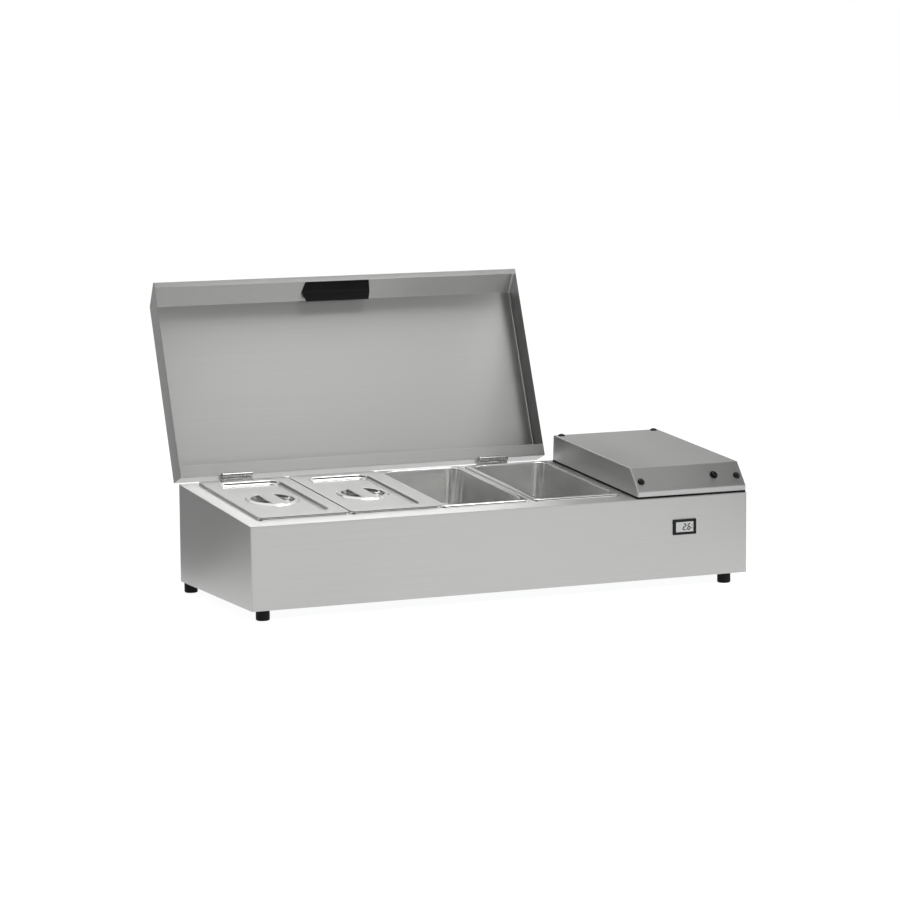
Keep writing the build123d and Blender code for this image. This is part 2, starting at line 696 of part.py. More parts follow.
def cover_outline():
    outline = Polygon(
        (COVER_SETBACK, SEAL_HEIGHT),
        (COVER_REAR, SEAL_HEIGHT),
        (COVER_REAR, COVER_RISE),
        (COVER_BEND, COVER_RISE),
        (COVER_SETBACK, COVER_SLOPE_FOOT),
    )
    corners = outline.vertices().filter_by(lambda v: v.Y > SEAL_HEIGHT + SHEET)
    return fillet(corners, BEND_RADIUS)


def on_cover_slope(x, drop):
    """A frame on the cover's sloping face, drop below its bend, with Z out of the face."""
    place = Pos(x, COVER_BEND - drop * SLOPE_COS, COVER_RISE - drop * SLOPE_SIN)
    return DECK * place * Rot(SLOPE_ANGLE, 0, 0)


def fixing_frames():
    """Frames of the four cover fixings, with Z out of the cover."""
    frames = []
    for x in (COVER_LEFT + FIXING_INSET, HALF_WIDTH - FIXING_INSET):
        frames.append(on_cover_slope(x, FIXING_SLOPE_DROP))
        frames.append(DECK * Pos(x, COVER_REAR - FIXING_REAR_INSET, COVER_RISE))
    return frames


def button_frame():
    return on_cover_slope(HALF_WIDTH - BUTTON_RIGHT_INSET, BUTTON_SLOPE_DROP)


def unit_cover():
    outline = cover_outline()
    inside = offset(outline, amount=-SHEET)
    cover = prism(outline, COVER_LEFT, HALF_WIDTH) - prism(inside, BAY_LEFT, INNER_HALF)
    front = COVER_SETBACK + SHEET
    rear = COVER_REAR - SHEET
    cover -= block(BAY_LEFT, INNER_HALF, front, rear, SEAL_HEIGHT - SHEET, SEAL_HEIGHT + 2 * SHEET)
    cover = DECK * cover
    hole = FIXING_SHANK / 2 + SCREW_CLEARANCE
    for frame in fixing_frames():
        cover -= frame * Pos(0, 0, -2 * SHEET) * extrude(Circle(hole), 3 * SHEET)
    barrel = BUTTON_BARREL / 2 + SCREW_CLEARANCE
    return cover - button_frame() * Pos(0, 0, -2 * SHEET) * extrude(Circle(barrel), 3 * SHEET)


def cover_seal():
    x0 = COVER_LEFT + SEAL_INSET
    x1 = HALF_WIDTH - SEAL_INSET
    y0 = COVER_SETBACK + SEAL_INSET
    y1 = COVER_REAR - SEAL_INSET
    seal = block(x0, x1, y0, y1, 0, SEAL_HEIGHT)
    width = SEAL_WIDTH
    seal -= block(x0 + width, x1 - width, y0 + width, y1 - width, -SEAL_HEIGHT, 2 * SEAL_HEIGHT)
    return DECK * seal


def cover_fixings():
    one = screw(FIXING_HEAD, FIXING_HEAD_HEIGHT, FIXING_SHANK, SHEET + 2 * BRACKET_SHEET)
    return Compound([frame * one for frame in fixing_frames()])


def cover_brackets():
    """Bent strips that stand on the deck and take the cover's fixings."""
    slope_y = COVER_BEND - FIXING_SLOPE_DROP * SLOPE_COS
    slope_z = COVER_RISE - FIXING_SLOPE_DROP * SLOPE_SIN
    under = SHEET / SLOPE_COS
    tab_y = BRACKET_TAB * SLOPE_COS
    tab_z = BRACKET_TAB * SLOPE_SIN
    deep = under + BRACKET_SHEET / SLOPE_COS
    leg = slope_y + tab_y
    front = Polygon(
        (slope_y - tab_y, slope_z - tab_z - under),
        (slope_y - tab_y, slope_z - tab_z - deep),
        (leg - BRACKET_SHEET, slope_z + tab_z - deep - BRACKET_SHEET * SLOPE_SIN / SLOPE_COS),
        (leg - BRACKET_SHEET, 0),
        (leg + 2 * BRACKET_TAB, 0),
        (leg + 2 * BRACKET_TAB, BRACKET_SHEET),
        (leg, BRACKET_SHEET),
        (leg, slope_z + tab_z - under),
    )
    top = COVER_RISE - SHEET
    far = COVER_REAR - SEAL_INSET - SEAL_WIDTH
    near = far - 2 * BRACKET_TAB
    upright = near + BRACKET_SHEET
    rear = Polygon(
        (near, 0),
        (far, 0),
        (far, BRACKET_SHEET),
        (upright, BRACKET_SHEET),
        (upright, top - BRACKET_SHEET),
        (far, top - BRACKET_SHEET),
        (far, top),
        (near, top),
    )
    brackets = []
    hole = FIXING_SHANK / 2 + SCREW_CLEARANCE
    # Inside the seal on either side
    lefts = (COVER_LEFT + SEAL_INSET + SEAL_WIDTH, HALF_WIDTH - SEAL_INSET - SEAL_WIDTH - BRACKET_WIDTH)
    frames = fixing_frames()
    for n, left in enumerate(lefts):
        for outline, frame in ((front, frames[2 * n]), (rear, frames[2 * n + 1])):
            strip = DECK * prism(outline, left, left + BRACKET_WIDTH)
            depth = SHEET + 2 * BRACKET_SHEET + SCREW_CLEARANCE
            brackets.append(strip - frame * extrude(Circle(hole), -depth))
    return Compound(brackets)


# Push button and thermometer


def button_body():
    collar = extrude(Circle(BUTTON_COLLAR / 2), BUTTON_COLLAR_HEIGHT)
    collar = fillet(collar.edges().sort_by(Axis.Z)[-1], BUTTON_COLLAR_HEIGHT * EDGE_ROUND_SHARE)
    body = collar + extrude(Circle(BUTTON_BARREL / 2), -BUTTON_BODY_LENGTH)
    bore = Pos(0, 0, -BUTTON_PLUNGER - BUTTON_STANDOUT) * extrude(
        Circle(BUTTON_DIAMETER / 2 + BUTTON_FIT), BUTTON_PLUNGER + BUTTON_STANDOUT + BUTTON_COLLAR_HEIGHT
    )
    return button_frame() * (body - bore)


def power_button():
    top = BUTTON_COLLAR_HEIGHT + BUTTON_STANDOUT
    plunger = Pos(0, 0, -BUTTON_PLUNGER) * extrude(Circle(BUTTON_DIAMETER / 2), BUTTON_PLUNGER + top)
    return button_frame() * fillet(plunger.edges().sort_by(Axis.Z)[-1], BUTTON_EDGE)


def display_plate(width, height, y0, y1):
    return block(
        DISPLAY_X - width / 2, DISPLAY_X + width / 2, y0, y1, DISPLAY_Z - height / 2, DISPLAY_Z + height / 2
    )


def glass_size():
    return DISPLAY_WINDOW_WIDTH + 2 * DISPLAY_GLASS_BORDER, DISPLAY_WINDOW_HEIGHT + 2 * DISPLAY_GLASS_BORDER


def display_bezel():
    bezel = display_plate(DISPLAY_WIDTH, DISPLAY_HEIGHT, -DISPLAY_PROUD, 0)
    front = bezel.faces().sort_by(Axis.Y)[0]
    bezel = fillet(front.edges() + bezel.edges().filter_by(Axis.Y), DISPLAY_PROUD * EDGE_ROUND_SHARE)
    bezel -= display_plate(DISPLAY_WINDOW_WIDTH, DISPLAY_WINDOW_HEIGHT, -2 * DISPLAY_PROUD, 0)
    return bezel - display_plate(*glass_size(), -DISPLAY_GLASS, 0)


def display_glass():
    return display_plate(*glass_size(), -DISPLAY_GLASS, 0)


def display_module():
    return display_plate(MODULE_WIDTH, MODULE_HEIGHT, 0, DISPLAY_MODULE_DEPTH)


# Feet


def foot(place):
    x, y = place
    body = extrude(Circle(FOOT_DIAMETER / 2), FOOT_HEIGHT)
    body = fillet(body.edges().sort_by(Axis.Z)[0], FOOT_EDGE)
    body -= extrude(Circle(FOOT_RECESS_DIAMETER / 2), FOOT_RECESS_DEPTH)
    body -= extrude(Circle(FOOT_SCREW_DIAMETER / 2 + SCREW_CLEARANCE), FOOT_HEIGHT)
    return Pos(x, y, 0) * body


def foot_screws():
    length = FOOT_HEIGHT - FOOT_RECESS_DEPTH + SHEET + FOOT_SCREW_STANDOUT
    one = Rot(180, 0, 0) * screw(FOOT_SCREW_HEAD, FOOT_SCREW_HEAD_HEIGHT, FOOT_SCREW_DIAMETER, length)
    return Compound([Pos(x, y, FOOT_RECESS_DEPTH) * one for x, y in FEET.values()])


# Hinges


def about_axis(start, end, radius):
    """A round bar about the hinge axis."""
    return rod((start, AXIS_Y, AXIS_Z), (end, AXIS_Y, AXIS_Z), radius)


def knuckle(mid, index):
    """One third of a hinge barrel."""
    start = mid - HINGE_LENGTH / 2 + index * KNUCKLE + KNUCKLE_GAP / 2
    return about_axis(start, start + KNUCKLE - KNUCKLE_GAP, BARREL_DIAMETER / 2)


def pin_bore(mid):
    """The bore for the pin, right through the barrel."""
    return about_axis(mid - HINGE_LENGTH, mid + HINGE_LENGTH, PIN_DIAMETER / 2 + PIN_FIT)


def barrel_room(mid, index):
    """Room for the other leaf's knuckle to turn in."""
    start = mid - HINGE_LENGTH / 2 + index * KNUCKLE - KNUCKLE_GAP / 2
    return about_axis(start, start + KNUCKLE + KNUCKLE_GAP, BARREL_DIAMETER / 2 + BARREL_CLEARANCE)


def leaf_screw_drop():
    return HINGE_LEAF_HEIGHT - HINGE_SCREW_HEAD


def leaf_screw_xs(mid):
    return [mid + n * HINGE_SCREW_SPACING for n in (-1, 0, 1)]


def fixed_leaf_screw_places():
    z = AXIS_Z - HINGE_RISE - leaf_screw_drop()
    return [(x, z) for mid in HINGE_MIDS.values() for x in leaf_screw_xs(mid)]


def stop_tab(x):
    """A gusset whose sloping edge the open lid leans on."""
    lean = radians(LID_LEAN)
    back = Vector(cos(lean), -sin(lean))
    down = Vector(-sin(lean), -cos(lean))
    axis = Vector(AXIS_Y, AXIS_Z)
    edge = axis + down * (HINGE_LEAF / 2 + STOP_GAP)
    near = edge + back * (BARREL_DIAMETER / 2 + 2 * BARREL_CLEARANCE)
    far = edge + back * STOP_REACH
    face = BODY_DEPTH + HINGE_LEAF
    low = AXIS_Z - HINGE_RISE - HINGE_LEAF_HEIGHT
    foot_z = AXIS_Z - BARREL_DIAMETER / 2 - 4 * BARREL_CLEARANCE
    outline = Polygon((face, low), (far.X, far.Y), (near.X, near.Y), (face, foot_z))
    return prism(outline, x - STOP_TAB / 2, x + STOP_TAB / 2)


def hinge_fixed_leaf(mid):
    x0 = mid - HINGE_LENGTH / 2
    x1 = mid + HINGE_LENGTH / 2
    leaf = block(
        x0, x1, BODY_DEPTH, BODY_DEPTH + HINGE_LEAF, AXIS_Z - HINGE_RISE - HINGE_LEAF_HEIGHT, AXIS_Z
    )
    leaf -= barrel_room(mid, 1)
    for index in (0, 2):
        leaf += knuckle(mid, index)
    leaf -= pin_bore(mid)
    for x in (x0 + STOP_TAB / 2, x1 - STOP_TAB / 2):
        leaf += stop_tab(x)
    z = AXIS_Z - HINGE_RISE - leaf_screw_drop()
    for x in leaf_screw_xs(mid):
        leaf -= leaf_hole((x, BODY_DEPTH - SHEET, z), (x, BODY_DEPTH + HINGE_LEAF + SHEET, z))
    return leaf


def leaf_hole(start, end):
    return rod(start, end, HINGE_SCREW / 2 + SCREW_CLEARANCE)


def hinge_lid_leaf(mid):
    x0 = mid - HINGE_LENGTH / 2
    x1 = mid + HINGE_LENGTH / 2
    leaf = block(x0, x1, LID_REAR, LID_REAR + HINGE_LEAF, LID_RIM, LID_RIM + HINGE_LEAF_HEIGHT)
    v = LID_RIM + leaf_screw_drop()
    for x in leaf_screw_xs(mid):
        leaf -= leaf_hole((x, LID_REAR - SHEET, v), (x, LID_REAR + HINGE_LEAF + SHEET, v))
    leaf = LID_OPEN * leaf
    for index in (0, 2):
        leaf -= barrel_room(mid, index)
    return leaf + knuckle(mid, 1) - pin_bore(mid)


def hinge_pin(mid):
    return about_axis(mid - HINGE_LENGTH / 2, mid + HINGE_LENGTH / 2, PIN_DIAMETER / 2)


def hinge_screw():
    length = HINGE_LEAF + 3 * SHEET
    return Rot(-90, 0, 0) * screw(HINGE_SCREW_HEAD, HINGE_SCREW_HEAD_HEIGHT, HINGE_SCREW, length)


def hinge_screws_body():
    y = BODY_DEPTH + HINGE_LEAF
    return Compound([Pos(x, y, z) * hinge_screw() for x, z in fixed_leaf_screw_places()])


def hinge_screws_lid():
    v = LID_RIM + leaf_screw_drop()
    u = LID_REAR + HINGE_LEAF
    xs = [x for mid in HINGE_MIDS.values() for x in leaf_screw_xs(mid)]
    return Compound([LID_OPEN * Pos(x, u, v) * hinge_screw() for x in xs])


# Lid, drawn closed over the deck and then turned open about the hinge axis


def lid_outline():
    outline = Polygon(
        (LID_FRONT, LID_RIM),
        (LID_REAR, LID_RIM),
        (LID_REAR, LID_TOP),
        (LID_FRONT + LID_SLOPE_RUN, LID_TOP),
        (LID_FRONT, LID_SLOPE_FOOT),
    )
    return fillet(outline.vertices(), BEND_RADIUS)


def lid_panel():
    outline = lid_outline()
    x0 = LID_X0 + SHEET
    x1 = LID_X1 - SHEET
    panel = prism(outline, x0, x1) - prism(offset(outline, amount=-SHEET), x0, x1)
    # The underside is open between the two return flanges.
    front = LID_FRONT + LID_FRONT_FLANGE
    rear = LID_REAR - LID_REAR_FLANGE
    panel -= block(x0, x1, front, rear, LID_RIM - SHEET, LID_RIM + 2 * SHEET)
    panel -= handle_slope() * handle_outline(HANDLE_FIT, -4 * SHEET, 4 * SHEET)
    v = LID_RIM + leaf_screw_drop()
    for mid in HINGE_MIDS.values():
        for x in leaf_screw_xs(mid):
            panel -= leaf_hole((x, LID_REAR - 3 * SHEET, v), (x, LID_REAR + SHEET, v))
    panel = LID_OPEN * panel
    for mid in HINGE_MIDS.values():
        panel -= Compound([barrel_room(mid, index) for index in range(3)])
    return panel


def lid_end(x):
    return LID_OPEN * prism(lid_outline(), x, x + SHEET)


def handle_slope():
    """The lid's sloping face: Y up the slope from its foot, Z out of the face."""
    return Pos(LID_MID, LID_FRONT, LID_SLOPE_FOOT) * Rot(SLOPE_ANGLE, 0, 0)


def handle_outline(grow, z0, z1):
    """The handle's six-sided outline on the slope, grown all round."""
    low = HANDLE_FOOT_MARGIN - grow
    high = LID_SLOPE_LENGTH - HANDLE_TOP_MARGIN + grow
    wide = HANDLE_WIDTH / 2 + grow
    narrow = wide - HANDLE_CORNER_CUT
    ridge = LID_SLOPE_LENGTH - HANDLE_RIDGE
    right = [(narrow, low), (wide, ridge), (narrow, high)]
    left = [(-x, y) for x, y in reversed(right)]
    return Pos(0, 0, z0) * extrude(Polygon(*right, *left), z1 - z0)


def handle_section(wall):
    """The cup in section: shallow up to a ridge, then deepening to its top end, drawn in by wall."""
    low = HANDLE_FOOT_MARGIN + wall
    high = LID_SLOPE_LENGTH - HANDLE_TOP_MARGIN - wall
    ridge = LID_SLOPE_LENGTH - HANDLE_RIDGE
    section = Polygon(
        (low, HANDLE_FLANGE),
        (low, -HANDLE_FOOT_DEPTH + wall),
        (ridge, -HANDLE_RIDGE_DEPTH + wall),
        (high, -HANDLE_TOP_DEPTH + wall),
        (high, HANDLE_FLANGE),
    )
    return prism(section, -HANDLE_WIDTH, HANDLE_WIDTH)


def lid_handle():
    deep = -2 * HANDLE_TOP_DEPTH
    cup = handle_section(0) & handle_outline(0, deep, HANDLE_FLANGE)
    cup += handle_outline(HANDLE_FLANGE_RIM, 0, HANDLE_FLANGE)
    cup -= handle_section(HANDLE_WALL) & handle_outline(-HANDLE_WALL, deep, HANDLE_FLANGE)
    return LID_OPEN * handle_slope() * cup


# Refrigeration unit


def compressor_can():
    can = extrude(Circle(COMPRESSOR_RADIUS), COMPRESSOR_HEIGHT)
    can = fillet(can.edges().sort_by(Axis.Z)[-1], COMPRESSOR_DOME)
    seam = extrude(Circle(COMPRESSOR_RADIUS + COMPRESSOR_SEAM), COMPRESSOR_SEAM_HEIGHT)
    can += Pos(0, 0, COMPRESSOR_SEAM_LIFT) * seam
    return Pos(BAY_MID, COMPRESSOR_SETBACK, COMPRESSOR_BASE) * can


def compressor():
    plate = slab(
        BAY_MID,
        COMPRESSOR_SETBACK,
        COMPRESSOR_FOOT_SPREAD_X + GROMMET_DIAMETER,
        COMPRESSOR_FOOT_SPREAD_Y + GROMMET_DIAMETER,
        GROMMET_DIAMETER / 2,
        COMPRESSOR_BASE - COMPRESSOR_PLATE,
        COMPRESSOR_BASE,
    )
    suction = rod((BAY_MID, COMPRESSOR_SETBACK, SUCTION_Z), suction_stub(), PIPE_DIAMETER / 2)
    discharge = rod((BAY_MID, COMPRESSOR_SETBACK, DISCHARGE_Z), discharge_stub(), PIPE_DIAMETER / 2)
    return compressor_can() + plate + suction + discharge


def suction_stub():
    return (COMPRESSOR_LEFT - PIPE_STUB, COMPRESSOR_SETBACK, SUCTION_Z)


def discharge_stub():
    return (BAY_MID, COMPRESSOR_REAR + PIPE_STUB, DISCHARGE_Z)


def compressor_grommets():
    one = extrude(Circle(GROMMET_DIAMETER / 2), GROMMET_HEIGHT)
    xs = [BAY_MID + side * COMPRESSOR_FOOT_SPREAD_X / 2 for side in (-1, 1)]
    ys = [COMPRESSOR_SETBACK + side * COMPRESSOR_FOOT_SPREAD_Y / 2 for side in (-1, 1)]
    return Compound([Pos(x, y, TRAY_TOP) * one for x in xs for y in ys])


def relay_box():
    front = COMPRESSOR_SETBACK - COMPRESSOR_RADIUS - RELAY_DEPTH
    box = block(
        BAY_MID - RELAY_WIDTH / 2,
        BAY_MID + RELAY_WIDTH / 2,
        front,
        COMPRESSOR_SETBACK,
        COMPRESSOR_BASE + COMPRESSOR_PLATE,
        COMPRESSOR_BASE + COMPRESSOR_PLATE + RELAY_HEIGHT,
    )
    return box - compressor_can()


def condenser_stubs():
    """Open ends of the condenser's tube: the outlet on the left, the inlet on the right."""
    z_out = CONDENSER_TOP - CONDENSER_HEIGHT / (2 * CONDENSER_TUBE_ROWS)
    left = (CONDENSER_LEFT - CONDENSER_STUB, CONDENSER_MID_Y, z_out)
    right = (CONDENSER_RIGHT + CONDENSER_STUB, CONDENSER_MID_Y, z_out)
    return left, right


def condenser():
    """Fins on straight tubes between two end plates that stand on the tray."""
    pitch = (CONDENSER_RIGHT - CONDENSER_LEFT - CONDENSER_FIN) / (CONDENSER_FINS - 1)
    body = None
    for n in range(CONDENSER_FINS):
        x = CONDENSER_LEFT + n * pitch
        bottom = TRAY_TOP if n in (0, CONDENSER_FINS - 1) else CONDENSER_BOTTOM
        fin = block(x, x + CONDENSER_FIN, CONDENSER_FRONT, CONDENSER_REAR, bottom, CONDENSER_TOP)
        body = fin if body is None else body + fin
    row = CONDENSER_HEIGHT / CONDENSER_TUBE_ROWS
    for n in range(CONDENSER_TUBE_ROWS):
        z = CONDENSER_BOTTOM + row * (n + 0.5)
        for y in (CONDENSER_MID_Y - CONDENSER_DEPTH / 4, CONDENSER_MID_Y + CONDENSER_DEPTH / 4):
            body += rod((CONDENSER_LEFT, y, z), (CONDENSER_RIGHT, y, z), PIPE_DIAMETER / 2)
    left, right = condenser_stubs()
    return body + rod(left, right, PIPE_DIAMETER / 2)


def fan_bracket():
    """A plate with a round opening, and a strap that holds the motor in front of it."""
    front = CONDENSER_FRONT - FAN_BRACKET
    plate = block(CONDENSER_LEFT, CONDENSER_RIGHT, front, CONDENSER_FRONT, CONDENSER_BOTTOM, CONDENSER_TOP)
    opening = FAN_DIAMETER / 2 + FAN_TIP_GAP
    near = (CONDENSER_MID, front - SHEET, FAN_Z)
    plate -= rod(near, (CONDENSER_MID, CONDENSER_FRONT + SHEET, FAN_Z), opening)
    low = FAN_Z - FAN_ARM_HEIGHT / 2
    high = FAN_Z + FAN_ARM_HEIGHT / 2
    strap_front = MOTOR_FRONT - FAN_BRACKET
    for x in (CONDENSER_LEFT, CONDENSER_RIGHT - FAN_BRACKET):
        plate += block(x, x + FAN_BRACKET, strap_front, front, low, high)
    return plate + block(CONDENSER_LEFT, CONDENSER_RIGHT, strap_front, MOTOR_FRONT, low, high)


def fan_motor():
    rear = (CONDENSER_MID, MOTOR_REAR, FAN_Z)
    body = rod((CONDENSER_MID, MOTOR_FRONT, FAN_Z), rear, FAN_MOTOR_DIAMETER / 2)
    body = fillet(body.edges().filter_by(GeomType.CIRCLE), FAN_MOTOR_EDGE)
    blind = (CONDENSER_MID, MOTOR_REAR - FAN_SHAFT_REACH - FAN_SHAFT_END_GAP, FAN_Z)
    return body - rod(blind, rear, FAN_SHAFT / 2 + PIN_FIT)


def fan_blade():
    """Hub, shaft and pitched blades, built about Z and then laid along Y."""
    hub = extrude(Circle(FAN_HUB / 2), FAN_WIDTH)
    hub = fillet(hub.edges().sort_by(Axis.Z)[-1], FAN_HUB_EDGE)
    shaft = extrude(Circle(FAN_SHAFT / 2), -(FAN_GAP + FAN_SHAFT_REACH))
    fan = hub + shaft
    inner = FAN_HUB / 2 - FAN_BLADE_ROOT
    outer = FAN_DIAMETER / 2
    plate = Box(outer - inner, FAN_BLADE_CHORD, FAN_BLADE_SHEET)
    blade = Pos((inner + outer) / 2, 0, FAN_WIDTH / 2) * Rot(FAN_BLADE_PITCH, 0, 0) * plate
    blade = blade & extrude(Circle(outer), FAN_WIDTH)
    for n in range(FAN_BLADES):
        fan += Rot(0, 0, 360 / FAN_BLADES * n) * blade
    return Pos(CONDENSER_MID, FAN_FRONT, FAN_Z) * Rot(-90, 0, 0) * fan


def filter_drier():
    """A can on a clip from the bulkhead, with a stub at each end."""
    can = rod((DRIER_X, DRIER_SETBACK, DRIER_BOTTOM), (DRIER_X, DRIER_SETBACK, DRIER_TOP), DRIER_DIAMETER / 2)
    can = fillet(can.edges().filter_by(GeomType.CIRCLE), DRIER_EDGE)
    can += rod((DRIER_X, DRIER_SETBACK, DRIER_BOTTOM - DRIER_STUB), drier_outlet(), PIPE_DIAMETER / 2)
    mid = (DRIER_BOTTOM + DRIER_TOP) / 2
    wide = DRIER_CLIP / 2
    return can + block(BAY_LEFT, DRIER_X, DRIER_SETBACK - wide, DRIER_SETBACK + wide, mid - wide, mid + wide)


def drier_outlet():
    return (DRIER_X, DRIER_SETBACK, DRIER_TOP + DRIER_STUB)


def suction_pipe():
    start = from_deck(COIL_END, COIL_FRONT, COIL_Z)
    end = suction_stub()
    turn = (start[0] + end[0]) / 2
    points = [start, (turn, start[1], start[2]), (turn, end[1], end[2]), end]
    return pipe(points, PIPE_BEND, PIPE_DIAMETER / 2)


def discharge_pipe():
    start = discharge_stub()
    end = condenser_stubs()[1]
    turn_x = (end[0] + BAY_RIGHT) / 2 + PIPE_TURN_OFFSET
    turn_y = start[1] + 2 * PIPE_BEND
    points = [start, (start[0], turn_y, start[2]), (turn_x, turn_y, end[2]), (turn_x, end[1], end[2]), end]
    return pipe(points, [PIPE_BEND, PIPE_BEND, turn_x - end[0] - PIPE_TURN_EASE], PIPE_DIAMETER / 2)


def liquid_pipe():
    start = drier_outlet()
    end = condenser_stubs()[0]
    points = [start, (start[0], start[1], end[2]), (start[0], end[1], end[2]), end]
    return pipe(points, PIPE_BEND, PIPE_DIAMETER / 2)


def capillary_pipe():
    start = (DRIER_X, DRIER_SETBACK, DRIER_BOTTOM - DRIER_STUB)
    end = from_deck(COIL_END, COIL_REAR, COIL_Z)
    low = start[2] - 2 * PIPE_BEND
    turn = end[0] + 2 * PIPE_BEND
    points = [start, (start[0], start[1], low), (turn, end[1], low), (turn, end[1], end[2]), end]
    return pipe(points, CAPILLARY_BEND, CAPILLARY_DIAMETER / 2)


def terminal_box():
    x1 = BAY_RIGHT - SHEET - TERMINAL_BOX_GAP
    box = block(
        x1 - TERMINAL_BOX_WIDTH,
        x1,
        TERMINAL_BOX_FRONT,
        TERMINAL_BOX_FRONT + TERMINAL_BOX_DEPTH,
        TRAY_TOP,
        TRAY_TOP + TERMINAL_BOX_HEIGHT,
    )
    edges = box.edges().filter_by(Axis.Z) + box.faces().sort_by(Axis.Z)[-1].edges()
    return fillet(edges, TERMINAL_BOX_CORNER)


def cable_gland():
    def ring(y0, y1, radius):
        return rod((GLAND_X, y0, GLAND_Z), (GLAND_X, y1, GLAND_Z), radius)

    inside = BODY_DEPTH - SHEET
    nut_end = BODY_DEPTH + GLAND_NUT_LENGTH
    tip = nut_end + GLAND_DOME
    hexagon = Plane(origin=(GLAND_X, BODY_DEPTH, GLAND_Z), z_dir=(0, 1, 0)) * RegularPolygon(GLAND_NUT / 2, 6)
    gland = extrude(hexagon, GLAND_NUT_LENGTH)
    gland += ring(inside - GLAND_LOCKNUT_LENGTH, nut_end, GLAND_THREAD / 2)
    dome = ring(nut_end, tip, GLAND_THREAD / 2)
    gland += fillet(dome.edges().sort_by(Axis.Y)[-1], GLAND_DOME_EDGE)
    gland += ring(inside - GLAND_LOCKNUT_LENGTH, inside, GLAND_NUT / 2)
    return gland - ring(inside - GLAND_LOCKNUT_LENGTH - SHEET, tip + SHEET, GLAND_BORE / 2)


NODES = {
    "outer_casing": outer_casing(),
    "base_tray": base_tray(),
    "rear_panel": rear_panel(),
    "panel_screws": panel_screws(),
    "top_deck": top_deck(),
    "well_liner": well_liner(),
    "insulation": insulation(),
    "evaporator_coil": evaporator_coil(),
    "bulkhead": bulkhead(),
    "pan_support_bars": pan_support_bars(),
    "temperature_probe": temperature_probe(),
    "unit_cover": unit_cover(),
    "cover_seal": cover_seal(),
    "cover_fixings": cover_fixings(),
    "cover_brackets": cover_brackets(),
    "button_body": button_body(),
    "power_button": power_button(),
    "display_bezel": display_bezel(),
    "display_glass": display_glass(),
    "display_module": display_module(),
    "foot_screws": foot_screws(),
    "hinge_screws_body": hinge_screws_body(),
    "hinge_screws_lid": hinge_screws_lid(),
    "lid_panel": lid_panel(),
    "lid_end_left": lid_end(LID_X0),
    "lid_end_right": lid_end(LID_X1 - SHEET),
    "lid_handle": lid_handle(),
    "compressor": compressor(),
    "compressor_grommets": compressor_grommets(),
    "relay_box": relay_box(),
    "condenser": condenser(),
    "fan_bracket": fan_bracket(),
    "fan_motor": fan_motor(),
    "fan_blade": fan_blade(),
    "filter_drier": filter_drier(),
    "suction_pipe": suction_pipe(),
    "discharge_pipe": discharge_pipe(),
    "liquid_pipe": liquid_pipe(),
    "capillary_pipe": capillary_pipe(),
    "terminal_box": terminal_box(),
    "cable_gland": cable_gland(),
}
for name, place in FEET.items():
    NODES["foot_" + name] = foot(place)
for side, mid in HINGE_MIDS.items():
    NODES["hinge_" + side + "_fixed_leaf"] = hinge_fixed_leaf(mid)
    NODES["hinge_" + side + "_lid_leaf"] = hinge_lid_leaf(mid)
    NODES["hinge_" + side + "_pin"] = hinge_pin(mid)
for number, mid in enumerate(PAN_MIDS, start=1):
    NODES["gn_pan_" + str(number)] = gn_pan(mid)
for number, mid in enumerate(PAN_MIDS[:2], start=1):
    NODES["pan_lid_" + str(number)] = pan_lid(mid)

# The origin is on the bench, midway between the thermometer bezel's front and the open lid's back.
LID_BACK = NODES["lid_panel"].bounding_box().max.Y
CENTRE_Y = (LID_BACK - DISPLAY_PROUD) / 2

os.makedirs("parts", exist_ok=True)
for name, shape in NODES.items():
    export_step(Pos(0, -CENTRE_Y, 0) * shape, "parts/" + name + ".step")

print("nodes", len(NODES), "middle of the depth", round(CENTRE_Y, 3))
print("hinge axis Y Z", round(AXIS_Y - CENTRE_Y, 3), round(AXIS_Z, 3), "travel", round(CLOSED_TRAVEL, 3))
print("deck tilt", round(DECK_TILT, 4), "slope out", round(DECK_TILT + SLOPE_ANGLE, 4))
print("fan axis X Z", round(CONDENSER_MID, 3), round(FAN_Z, 3))
print("gland", round(GLAND_X, 3), round(BODY_DEPTH - CENTRE_Y, 3), round(GLAND_Z, 3))
print("feet", {name: (round(x, 2), round(y - CENTRE_Y, 2)) for name, (x, y) in FEET.items()})
print("pans", [round(mid, 2) for mid in PAN_MIDS], "deck front edge Y", round(-CENTRE_Y, 3))
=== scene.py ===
"""The look of a refrigerated prep well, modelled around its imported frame."""

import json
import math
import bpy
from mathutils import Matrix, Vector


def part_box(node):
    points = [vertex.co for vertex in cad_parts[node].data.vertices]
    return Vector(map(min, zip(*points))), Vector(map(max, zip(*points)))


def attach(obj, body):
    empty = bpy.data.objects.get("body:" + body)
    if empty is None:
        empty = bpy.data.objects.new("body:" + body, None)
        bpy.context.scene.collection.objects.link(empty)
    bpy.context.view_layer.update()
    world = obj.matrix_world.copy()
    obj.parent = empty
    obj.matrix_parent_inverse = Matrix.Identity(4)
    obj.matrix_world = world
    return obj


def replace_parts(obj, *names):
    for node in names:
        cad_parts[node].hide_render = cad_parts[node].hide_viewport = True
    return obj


bl_info = {
    "name": "Refrigerated prep well",
    "version": (1, 0, 0),
    "blender": (4, 5, 0),
    "location": "View3D > Sidebar > Prep well",
    "description": "Models and finishes the pieces of a countertop refrigerated prep well",
    "category": "Object",
}

import bmesh
import bpy
from mathutils import Matrix, Vector

